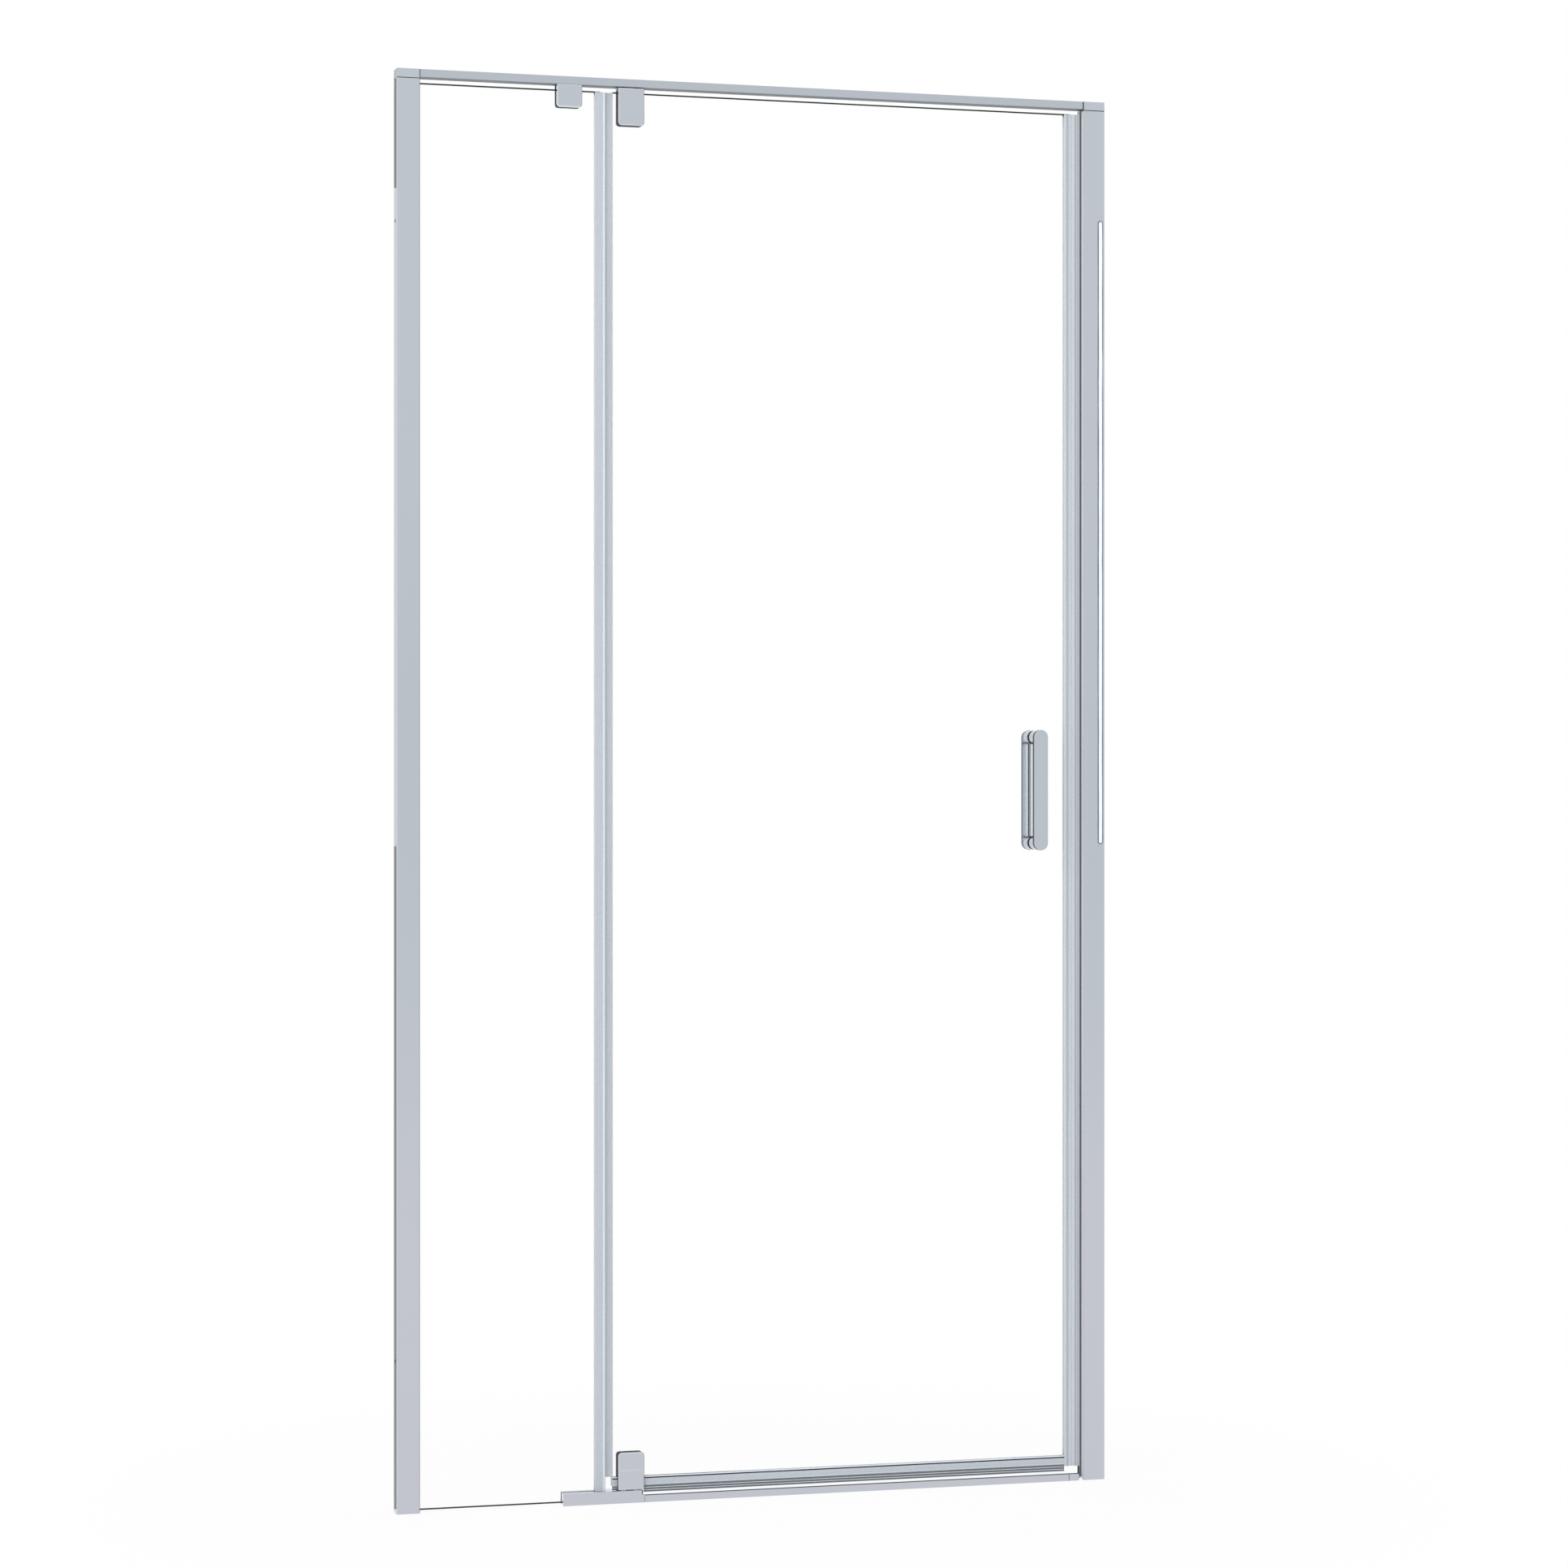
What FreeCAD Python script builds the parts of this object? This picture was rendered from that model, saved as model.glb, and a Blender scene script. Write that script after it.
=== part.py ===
"""Pivot shower door: a slim metal frame, a fixed glass pane and a glass door on two pivot hinges.

Millimetres, +Z up. The origin is the middle of the frame at floor level, in the glass plane, and the
front of the door, which opens outwards, faces -Y. Distances named "across" run from a frame side
towards the middle of the doorway.
"""

import FreeCAD, Part
import math
import os
import Sketcher

SHEET_NAME = "Sizes"

# Driving sizes in millimetres. A name that ends in _at is a distance from the left outer edge.
DRIVING_SIZES = {
    # whole frame
    "overall_width": 988.0,
    "overall_height": 1900.0,
    "frame_depth": 22.0,
    # jamb extrusions
    "jamb_width": 31.0,
    "jamb_wall": 1.5,
    "jamb_web_across": 18.0,
    "groove_half_width": 4.2,
    # wall channels
    "channel_base": 2.0,
    "channel_wall": 1.5,
    "channel_reach": 16.0,
    "wall_hole_radius": 2.75,
    "wall_hole_spacing": 1500.0,
    # header
    "header_height": 10.5,
    "header_depth": 20.0,
    "header_wall": 1.5,
    "cap_height": 12.5,
    "spigot_length": 12.0,
    # glass
    "glass_thickness": 6.0,
    "gasket_thickness": 1.0,
    "gasket_inset": 1.0,
    # fixed pane
    "fixed_glass_edge_at": 276.0,
    "fixed_glass_bottom": 3.0,
    "glass_top_gap": 17.0,
    "glazing_wall": 1.2,
    "glazing_base": 1.5,
    "glazing_lip": 0.6,
    # glass clamp
    "clamp_at": 232.8,
    "clamp_width": 34.0,
    "clamp_height": 30.0,
    "plate_thickness": 6.0,
    "plate_corner_radius": 4.5,
    "plate_bevel": 0.7,
    "clamp_notch_half_width": 6.5,
    "clamp_notch_depth": 14.5,
    "clamp_screw_drop": 15.0,
    # pivot hinges
    "pivot_at": 317.0,
    "hinge_width": 35.4,
    "hinge_height": 49.5,
    "hinge_top_gap": 1.5,
    "hinge_bottom_gap": 1.0,
    "hinge_notch_half_width": 13.0,
    "hinge_notch_depth": 17.0,
    "notch_radius": 5.0,
    "notch_clearance": 0.5,
    "pin_radius": 2.5,
    "pin_engagement": 15.0,
    "pin_reach": 10.0,
    "hinge_screw_offset": 8.5,
    "hinge_screw_drop": 12.5,
    "split_line_height": 25.5,
    "split_line_width": 0.5,
    "split_line_depth": 0.4,
    # pivot bushes
    "bush_flange_radius": 5.5,
    "bush_flange_thickness": 0.7,
    "bush_barrel_radius": 4.0,
    "bush_barrel_length": 6.5,
    "bush_floor": 1.0,
    # screws
    "screw_radius": 2.0,
    "screw_head_radius": 3.5,
    "screw_head_height": 2.6,
    "screw_head_recess": 0.2,
    "thread_depth": 4.2,
    # door glass
    "door_tail": 25.0,
    "door_edge_gap": 16.0,
    "door_glass_bottom": 24.0,
    "handle_hole_radius": 6.0,
    # edge seal of the fixed pane
    "edge_seal_grip": 7.5,
    "edge_seal_wall": 1.2,
    "edge_seal_body": 6.7,
    "edge_seal_fin_thickness": 1.2,
    "edge_seal_top_gap": 1.0,
    # door sweep
    "sweep_wall": 1.4,
    "sweep_grip": 10.0,
    "sweep_floor": 2.0,
    "sweep_fin_length": 9.3,
    "sweep_fin_thickness": 1.0,
    "sweep_rib_height": 0.8,
    "sweep_rib_depth": 0.8,
    "sweep_rib_pitch": 3.3,
    # magnetic seal of the door
    "door_seal_grip": 9.5,
    "door_seal_wall": 1.2,
    "door_seal_shoulder": 2.2,
    "door_seal_half_depth": 5.5,
    "door_seal_bottom": 19.4,
    "door_seal_top_gap": 1.0,
    "magnet_wall": 1.2,
    "magnet_half_depth": 3.6,
    "magnet_thickness": 3.0,
    # strike seal on the closing jamb
    "strike_depth": 2.9,
    "strike_half_depth": 5.5,
    "strike_bottom": 4.5,
    "strike_base": 1.0,
    "strike_magnet_bottom": 19.0,
    "strike_clip_depth": 1.5,
    "strike_barb": 1.0,
    # sill
    "sill_height": 10.4,
    "sill_wall": 1.8,
    "sill_bevel": 0.8,
    "sill_jamb_gap": 6.4,
    "sill_block_length": 14.6,
    "block_left_at": 223.6,
    "block_height": 16.5,
    "block_end_radius": 18.0,
    "liner_thickness": 1.0,
    # handle
    "handle_inset": 51.3,
    "handle_height": 951.0,
    "grip_centres": 145.0,
    "grip_width": 20.0,
    "grip_thickness": 6.0,
    "grip_bevel": 0.8,
    "post_radius": 9.5,
    "post_length": 17.0,
    "washer_radius": 9.0,
    "washer_thickness": 1.0,
    "stud_radius": 4.0,
    "stud_engagement": 11.0,
    # clearances
    "seat_clearance": 0.1,
    "running_clearance": 0.05,
    "moving_gap": 0.5,
}


class Length:
    """A length in millimetres that carries the sheet expression it is worked out by."""

    def __init__(self, value, text):
        self.value = value
        self.text = text

    def __add__(self, other):
        other = length(other)
        return Length(self.value + other.value, f"({self.text} + {other.text})")

    __radd__ = __add__

    def __sub__(self, other):
        other = length(other)
        return Length(self.value - other.value, f"({self.text} - {other.text})")

    def __rsub__(self, other):
        return length(other) - self

    def __neg__(self):
        return length(0) - self

    def __mul__(self, factor):
        factor = length(factor)
        return Length(self.value * factor.value, f"({self.text} * {factor.text})")

    __rmul__ = __mul__

    def __truediv__(self, factor):
        return Length(self.value / factor, f"({self.text} / {factor})")

    def root(self):
        """Returns the square root of the value."""
        return Length(math.sqrt(self.value), f"sqrt({self.text})")


def length(value):
    """Returns value as a Length, also when it is a plain number."""
    if isinstance(value, Length):
        return value
    return Length(float(value), repr(float(value)))


class Corner:
    """A corner of an outline. The edge that leaves it is straight, or an arc round centre."""

    def __init__(self, x, y, centre=None, radius=None, clockwise=False):
        self.x = length(x)
        self.y = length(y)
        self.centre = centre
        self.radius = radius
        self.clockwise = clockwise

    def point(self):
        """Returns the corner as a point of the sketch plane."""
        return FreeCAD.Vector(self.x.value, self.y.value, 0)


class Ring:
    """A full circle of an outline."""

    def __init__(self, x, y, radius):
        self.x = length(x)
        self.y = length(y)
        self.radius = length(radius)


document = FreeCAD.newDocument("PivotShowerDoor")
nodes = []


def make_sheet():
    """Writes the driving sizes to the sheet and returns them as named lengths."""
    sheet = document.addObject("Spreadsheet::Sheet", SHEET_NAME)
    named = {}
    for row, (alias, value) in enumerate(DRIVING_SIZES.items(), start=1):
        sheet.set(f"A{row}", alias)
        sheet.set(f"B{row}", str(value))
        sheet.setAlias(f"B{row}", alias)
        named[alias] = Length(value, f"{SHEET_NAME}.{alias}")
    document.recompute()
    return named


size = make_sheet()


def ordered(first, second):
    """Returns the two lengths, lower one first."""
    return (first, second) if first.value < second.value else (second, first)


# --- sketches and features -------------------------------------------------------------------


def new_body(label):
    """Starts a body that becomes the node of that name."""
    body = document.addObject("PartDesign::Body", label)
    body.Label = label
    return body


def arc_geometry(corner, following):
    """Returns the arc from corner to following, which always runs anticlockwise in a sketch."""
    centre = FreeCAD.Vector(corner.centre[0].value, corner.centre[1].value, 0)
    circle = Part.Circle(centre, FreeCAD.Vector(0, 0, 1), corner.radius.value)
    start, end = (following, corner) if corner.clockwise else (corner, following)
    return Part.ArcOfCircle(circle, circle.parameter(start.point()), circle.parameter(end.point()))


def fix_point(sketch, geometry, place, x, y):
    """Ties one point of a sketch to two sheet expressions."""
    for kind, value in (("DistanceX", x), ("DistanceY", y)):
        index = sketch.addConstraint(Sketcher.Constraint(kind, -1, 1, geometry, place, value.value))
        sketch.setExpression(f"Constraints[{index}]", value.text)


def fix_radius(sketch, geometry, radius):
    """Ties the radius of an arc or a circle to a sheet expression."""
    index = sketch.addConstraint(Sketcher.Constraint("Radius", geometry, radius.value))
    sketch.setExpression(f"Constraints[{index}]", radius.text)


def draw_ring(sketch, ring):
    """Draws a full circle."""
    middle = FreeCAD.Vector(ring.x.value, ring.y.value, 0)
    circle = Part.Circle(middle, FreeCAD.Vector(0, 0, 1), ring.radius.value)
    geometry = sketch.addGeometry(circle, False)
    fix_point(sketch, geometry, 3, ring.x, ring.y)
    fix_radius(sketch, geometry, ring.radius)


def draw_outline(sketch, corners):
    """Draws a closed outline of lines and arcs."""
    first = sketch.GeometryCount
    count = len(corners)
    for index, corner in enumerate(corners):
        following = corners[(index + 1) % count]
        if corner.centre is None:
            edge = Part.LineSegment(corner.point(), following.point())
        else:
            edge = arc_geometry(corner, following)
        sketch.addGeometry(edge, False)
    for index, corner in enumerate(corners):
        next_index = (index + 1) % count
        leaves = 1 if corner.clockwise else 2
        enters = 2 if corners[next_index].clockwise else 1
        join = Sketcher.Constraint("Coincident", first + index, leaves, first + next_index, enters)
        sketch.addConstraint(join)
    for index, corner in enumerate(corners):
        fix_point(sketch, first + index, 2 if corner.clockwise else 1, corner.x, corner.y)
        if corner.centre is not None:
            fix_radius(sketch, first + index, corner.radius)


def add_sketch(body, name, plane, offset, outlines):
    """Adds a sketch on one of the body's own planes, shifted along the plane's normal."""
    sketch = body.newObject("Sketcher::SketchObject", name)
    support = next(item for item in body.Origin.OriginFeatures if item.Role == plane)
    sketch.AttachmentSupport = [(support, "")]
    sketch.MapMode = "FlatFace"
    sketch.setExpression("AttachmentOffset.Base.z", length(offset).text)
    for outline in outlines:
        if isinstance(outline, Ring):
            draw_ring(sketch, outline)
        else:
            draw_outline(sketch, outline)
    return sketch


def pad(body, plane, start, end, *outlines):
    """Adds the outlines as a prism from start to end along X, Y or Z.

    The XZ plane's normal points to -Y, so there the prism grows back from its end.
    """
    start, end = length(start), length(end)
    offset = -end if plane == "XZ_Plane" else start
    sketch = add_sketch(body, "Outline", plane, offset, outlines)
    feature = body.newObject("PartDesign::Pad", "Prism")
    feature.Profile = sketch
    feature.setExpression("Length", (end - start).text)
    body.Tip = feature
    return feature


def pocket(body, plane, start, end, *outlines):
    """Cuts the outlines from start to end along X, Y or Z, against the plane's normal."""
    start, end = length(start), length(end)
    offset = -start if plane == "XZ_Plane" else end
    sketch = add_sketch(body, "CutOutline", plane, offset, outlines)
    feature = body.newObject("PartDesign::Pocket", "Cut")
    feature.Profile = sketch
    feature.setExpression("Length", (end - start).text)
    body.Tip = feature
    return feature


def turned_body(label, outline):
    """Adds a body turned round its own Z axis from an outline in radius and height."""
    body = new_body(label)
    sketch = add_sketch(body, "HalfSection", "XZ_Plane", 0, [outline])
    feature = body.newObject("PartDesign::Revolution", "Turning")
    feature.Profile = sketch
    feature.ReferenceAxis = (sketch, ["V_Axis"])
    feature.Angle = 360.0
    body.Tip = feature
    return body


def place(item, x=0, y=0, z=0, tilt=0):
    """Places an object. A tilt of 90 turns its Z axis to the front, and -90 to the back."""
    item.Placement.Rotation = FreeCAD.Rotation(FreeCAD.Vector(1, 0, 0), tilt)
    for axis, value in (("x", x), ("y", y), ("z", z)):
        item.setExpression(f"Placement.Base.{axis}", length(value).text)
    return item


def bevel(body, bevel_size, on_edge):
    """Bevels the edges of the body that on_edge picks out."""
    document.recompute()
    base = body.Tip
    names = [f"Edge{number}" for number, edge in enumerate(base.Shape.Edges, start=1) if on_edge(edge)]
    feature = body.newObject("PartDesign::Chamfer", "Bevel")
    feature.Base = (base, names)
    feature.setExpression("Size", bevel_size.text)
    body.Tip = feature


def at_depth(depth):
    """Returns a test for edges that lie in the plane Y = depth."""

    def on_edge(edge):
        return all(abs(vertex.Point.y - depth.value) < 1e-6 for vertex in edge.Vertexes)

    return on_edge


def rectangle(x0, x1, y0, y1):
    """Returns the corners of a rectangle."""
    return [Corner(x0, y0), Corner(x1, y0), Corner(x1, y1), Corner(x0, y1)]


def rounded_plate(x0, x1, near, far, radius):
    """Returns a plate outline that is square at near and has rounded corners at far."""
    if near.value > far.value:
        return [
            Corner(x0, near),
            Corner(x0, far + radius, (x0 + radius, far + radius), radius),
            Corner(x0 + radius, far),
            Corner(x1 - radius, far, (x1 - radius, far + radius), radius),
            Corner(x1, far + radius),
            Corner(x1, near),
        ]
    return [
        Corner(x0, near),
        Corner(x1, near),
        Corner(x1, far - radius, (x1 - radius, far - radius), radius),
        Corner(x1 - radius, far),
        Corner(x0 + radius, far, (x0 + radius, far - radius), radius),
        Corner(x0, far - radius),
    ]


def stadium(x, z, centres, radius):
    """Returns an upright stadium outline, its ends as quarter arcs."""
    low, high = z - centres / 2, z + centres / 2
    return [
        Corner(x - radius, low, (x, low), radius),
        Corner(x, low - radius, (x, low), radius),
        Corner(x + radius, low),
        Corner(x + radius, high, (x, high), radius),
        Corner(x, high + radius, (x, high), radius),
        Corner(x - radius, high),
    ]


def keep(item, label):
    """Lists a finished sub-part under its node name."""
    item.Label = label
    nodes.append(item)
    return item


def group(label, members):
    """Keeps separate like pieces together in one node."""
    compound = document.addObject("Part::Compound", label)
    compound.Links = members
    return keep(compound, label)


def cap_screw(name, shank_length):
    """Returns a cap screw that points down its own Z axis, with the seat of its head at 0."""
    head = document.addObject("Part::Cylinder", f"{name}_head")
    head.setExpression("Radius", size["screw_head_radius"].text)
    head.setExpression("Height", size["screw_head_height"].text)
    shank = document.addObject("Part::Cylinder", f"{name}_shank")
    shank.setExpression("Radius", size["screw_radius"].text)
    shank.setExpression("Height", shank_length.text)
    shank.setExpression("Placement.Base.z", (-shank_length).text)
    finished = document.addObject("Part::MultiFuse", name)
    finished.Shapes = [head, shank]
    return finished


# --- shared places ---------------------------------------------------------------------------

LEFT, RIGHT = "left", "right"
left_edge = -size["overall_width"] / 2


def across(side, distance):
    """Returns the X of a place at that distance inwards from the left or the right outer edge."""
    return left_edge + distance if side == LEFT else length(distance) * -1 - left_edge


half_frame = size["frame_depth"] / 2
half_glass = size["glass_thickness"] / 2
clearance = size["seat_clearance"]
jamb_top = size["overall_height"] - size["cap_height"]
header_bottom = size["overall_height"] - size["header_height"]
glass_top = size["overall_height"] - size["glass_top_gap"]
pivot_x = across(LEFT, size["pivot_at"])
clamp_x = across(LEFT, size["clamp_at"])
gasket_face = half_glass + size["gasket_thickness"]
plate_face = gasket_face + size["plate_thickness"]
fixed_edge_x = across(LEFT, size["fixed_glass_edge_at"])
block_left_x = across(LEFT, size["block_left_at"])
block_right_x = pivot_x + size["block_end_radius"]
sill_end_x = across(RIGHT, size["jamb_width"] + size["sill_jamb_gap"] + size["sill_block_length"])
strike_x = across(RIGHT, size["jamb_width"] + size["strike_depth"])
door_seal_end_x = strike_x - size["moving_gap"]
door_edge_x = across(RIGHT, size["jamb_width"] + size["door_edge_gap"])
door_tail_x = pivot_x - size["door_tail"]
handle_x = door_edge_x - size["handle_inset"]
screw_hole_radius = size["screw_radius"] + clearance
screw_seat = plate_face - size["screw_head_height"] - size["screw_head_recess"]


# --- frame -----------------------------------------------------------------------------------


def make_wall_channel(side):
    """U-shaped channel that is screwed to the wall, open towards the doorway."""
    outer = half_frame - size["jamb_wall"] - clearance
    inner = outer - size["channel_wall"]
    base, reach = size["channel_base"], size["channel_reach"]
    top = jamb_top - size["spigot_length"] - size["moving_gap"]
    section = [
        Corner(across(side, 0), -outer),
        Corner(across(side, reach), -outer),
        Corner(across(side, reach), -inner),
        Corner(across(side, base), -inner),
        Corner(across(side, base), inner),
        Corner(across(side, reach), inner),
        Corner(across(side, reach), outer),
        Corner(across(side, 0), outer),
    ]
    body = new_body(f"wall_channel_{side}")
    pad(body, "XY_Plane", 0, top, section)
    middle, half_spacing = size["overall_height"] / 2, size["wall_hole_spacing"] / 2
    holes = [Ring(0, z, size["wall_hole_radius"]) for z in (middle - half_spacing, middle + half_spacing)]
    pocket(body, "YZ_Plane", *ordered(across(side, 0), across(side, base)), *holes)
    return keep(body, f"wall_channel_{side}")


def make_jamb(side):
    """Jamb extrusion: a pocket for the wall channel, and a groove for the fixed pane or the strike."""
    wall, web = size["jamb_wall"], size["jamb_web_across"]
    width, slot = size["jamb_width"], size["groove_half_width"]
    inside = half_frame - wall
    lower_half = [
        Corner(across(side, 0), -half_frame),
        Corner(across(side, width), -half_frame),
        Corner(across(side, width), -slot),
        Corner(across(side, width - wall), -slot),
        Corner(across(side, width - wall), -inside),
        Corner(across(side, web + wall), -inside),
    ]
    wall_pocket = [
        Corner(across(side, 0), inside),
        Corner(across(side, web), inside),
        Corner(across(side, web), -inside),
        Corner(across(side, 0), -inside),
    ]
    upper_half = [Corner(corner.x, -corner.y) for corner in reversed(lower_half)]
    body = new_body(f"jamb_profile_{side}")
    pad(body, "XY_Plane", 0, jamb_top, lower_half + upper_half + wall_pocket)
    return keep(body, f"jamb_profile_{side}")


def make_header_rail():
    """Hollow header rail with a hole for the pivot bush in its lower wall."""
    half_depth, wall = size["header_depth"] / 2, size["header_wall"]
    top = size["overall_height"]
    outer = rectangle(-half_depth, half_depth, header_bottom, top)
    inner = rectangle(-half_depth + wall, half_depth - wall, header_bottom + wall, top - wall)
    body = new_body("header_rail")
    pad(body, "YZ_Plane", across(LEFT, size["jamb_width"]), across(RIGHT, size["jamb_width"]), outer, inner)
    bush_hole = Ring(pivot_x, 0, size["bush_barrel_radius"] + size["running_clearance"])
    pocket(body, "XY_Plane", header_bottom, header_bottom + wall, bush_hole)
    return keep(body, "header_rail")


def make_header_cap(side):
    """Corner cap over the jamb, with one spigot in the header rail and one in the jamb's pocket."""
    top, wall = size["overall_height"], size["header_wall"]
    spigot_length = size["spigot_length"]
    rail_half = size["header_depth"] / 2 - wall - clearance
    rail_end = across(side, size["jamb_width"] + spigot_length)
    rail_spigot = rectangle(-rail_half, rail_half, header_bottom + wall + clearance, top - wall - clearance)
    jamb_half = half_frame - size["jamb_wall"] - clearance
    pocket_span = ordered(across(side, 0), across(side, size["jamb_web_across"] - clearance))
    face = across(side, size["jamb_width"])
    body = new_body(f"header_cap_{side}")
    pad(body, "XY_Plane", jamb_top, top, rectangle(*ordered(across(side, 0), face), -half_frame, half_frame))
    pad(body, "YZ_Plane", *ordered(face, rail_end), rail_spigot)
    pad(body, "XY_Plane", jamb_top - spigot_length, jamb_top, rectangle(*pocket_span, -jamb_half, jamb_half))
    return keep(body, f"header_cap_{side}")


def make_fixed_glass():
    """Fixed pane from the groove of the left jamb to its free edge, notched for the glass clamp."""
    start = across(LEFT, size["jamb_web_across"] + size["jamb_wall"] + size["glazing_base"])
    half, depth = size["clamp_notch_half_width"], size["clamp_notch_depth"]
    outline = [
        Corner(start, size["fixed_glass_bottom"]),
        Corner(fixed_edge_x, size["fixed_glass_bottom"]),
        Corner(fixed_edge_x, glass_top),
        *notch(clamp_x, half, depth, glass_top, -1),
        Corner(start, glass_top),
    ]
    body = new_body("fixed_glass")
    pad(body, "XZ_Plane", -half_glass, half_glass, outline)
    return keep(body, "fixed_glass")


def make_glazing_gasket():
    """U-shaped gasket round the edge of the fixed pane in the jamb's groove."""
    base_x = across(LEFT, size["jamb_web_across"] + size["jamb_wall"])
    glass_x = base_x + size["glazing_base"]
    lip_x = across(LEFT, size["jamb_width"] + size["glazing_lip"])
    outer = half_glass + size["glazing_wall"]
    section = [
        Corner(base_x, -outer),
        Corner(lip_x, -outer),
        Corner(lip_x, -half_glass),
        Corner(glass_x, -half_glass),
        Corner(glass_x, half_glass),
        Corner(lip_x, half_glass),
        Corner(lip_x, outer),
        Corner(base_x, outer),
    ]
    body = new_body("glazing_gasket")
    pad(body, "XY_Plane", size["fixed_glass_bottom"], glass_top, section)
    return keep(body, "glazing_gasket")


def make_edge_seal():
    """Seal on the free edge of the fixed pane: a hollow body and a fin that closes the gap to the door."""
    outer = half_glass + size["edge_seal_wall"]
    fin = size["edge_seal_fin_thickness"] / 2
    grip_x = fixed_edge_x - size["edge_seal_grip"]
    body_x = fixed_edge_x + size["edge_seal_body"]
    tail_reach = (size["door_tail"] * size["door_tail"] + half_glass * half_glass).root()
    fin_x = pivot_x - tail_reach - size["moving_gap"]
    section = [
        Corner(grip_x, -outer),
        Corner(body_x, -outer),
        Corner(body_x, -fin),
        Corner(fin_x, -fin),
        Corner(fin_x, fin),
        Corner(body_x, fin),
        Corner(body_x, outer),
        Corner(grip_x, outer),
        Corner(grip_x, half_glass),
        Corner(fixed_edge_x, half_glass),
        Corner(fixed_edge_x, -half_glass),
        Corner(grip_x, -half_glass),
    ]
    chamber = rectangle(
        fixed_edge_x + size["edge_seal_wall"],
        body_x - size["edge_seal_wall"],
        -half_glass,
        half_glass,
    )
    body = new_body("fixed_panel_edge_seal")
    top = glass_top - size["edge_seal_top_gap"]
    pad(body, "XY_Plane", size["block_height"], top, section, chamber)
    relief = rectangle(body_x, fin_x, -outer, outer)
    fin_bottom = size["door_glass_bottom"] + size["sweep_grip"] + size["moving_gap"]
    pocket(body, "XY_Plane", size["block_height"], fin_bottom, relief)
    return keep(body, "fixed_panel_edge_seal")


# --- fittings on the glass -------------------------------------------------------------------


def notch(x, half, depth, edge, inwards):
    """Returns the corners of a glass notch with rounded inner corners, anticlockwise round the pane.

    inwards is 1 for a notch in the lower edge of the pane and -1 for one in its upper edge.
    """
    radius = size["notch_radius"]
    floor = edge + depth * inwards
    bend = floor - radius * inwards
    start, end = x - half * inwards, x + half * inwards
    first_x, last_x = start + radius * inwards, end - radius * inwards
    return [
        Corner(start, edge),
        Corner(start, bend, (first_x, bend), radius, clockwise=True),
        Corner(first_x, floor),
        Corner(last_x, floor, (last_x, bend), radius, clockwise=True),
        Corner(end, bend),
        Corner(end, edge),
    ]


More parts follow.
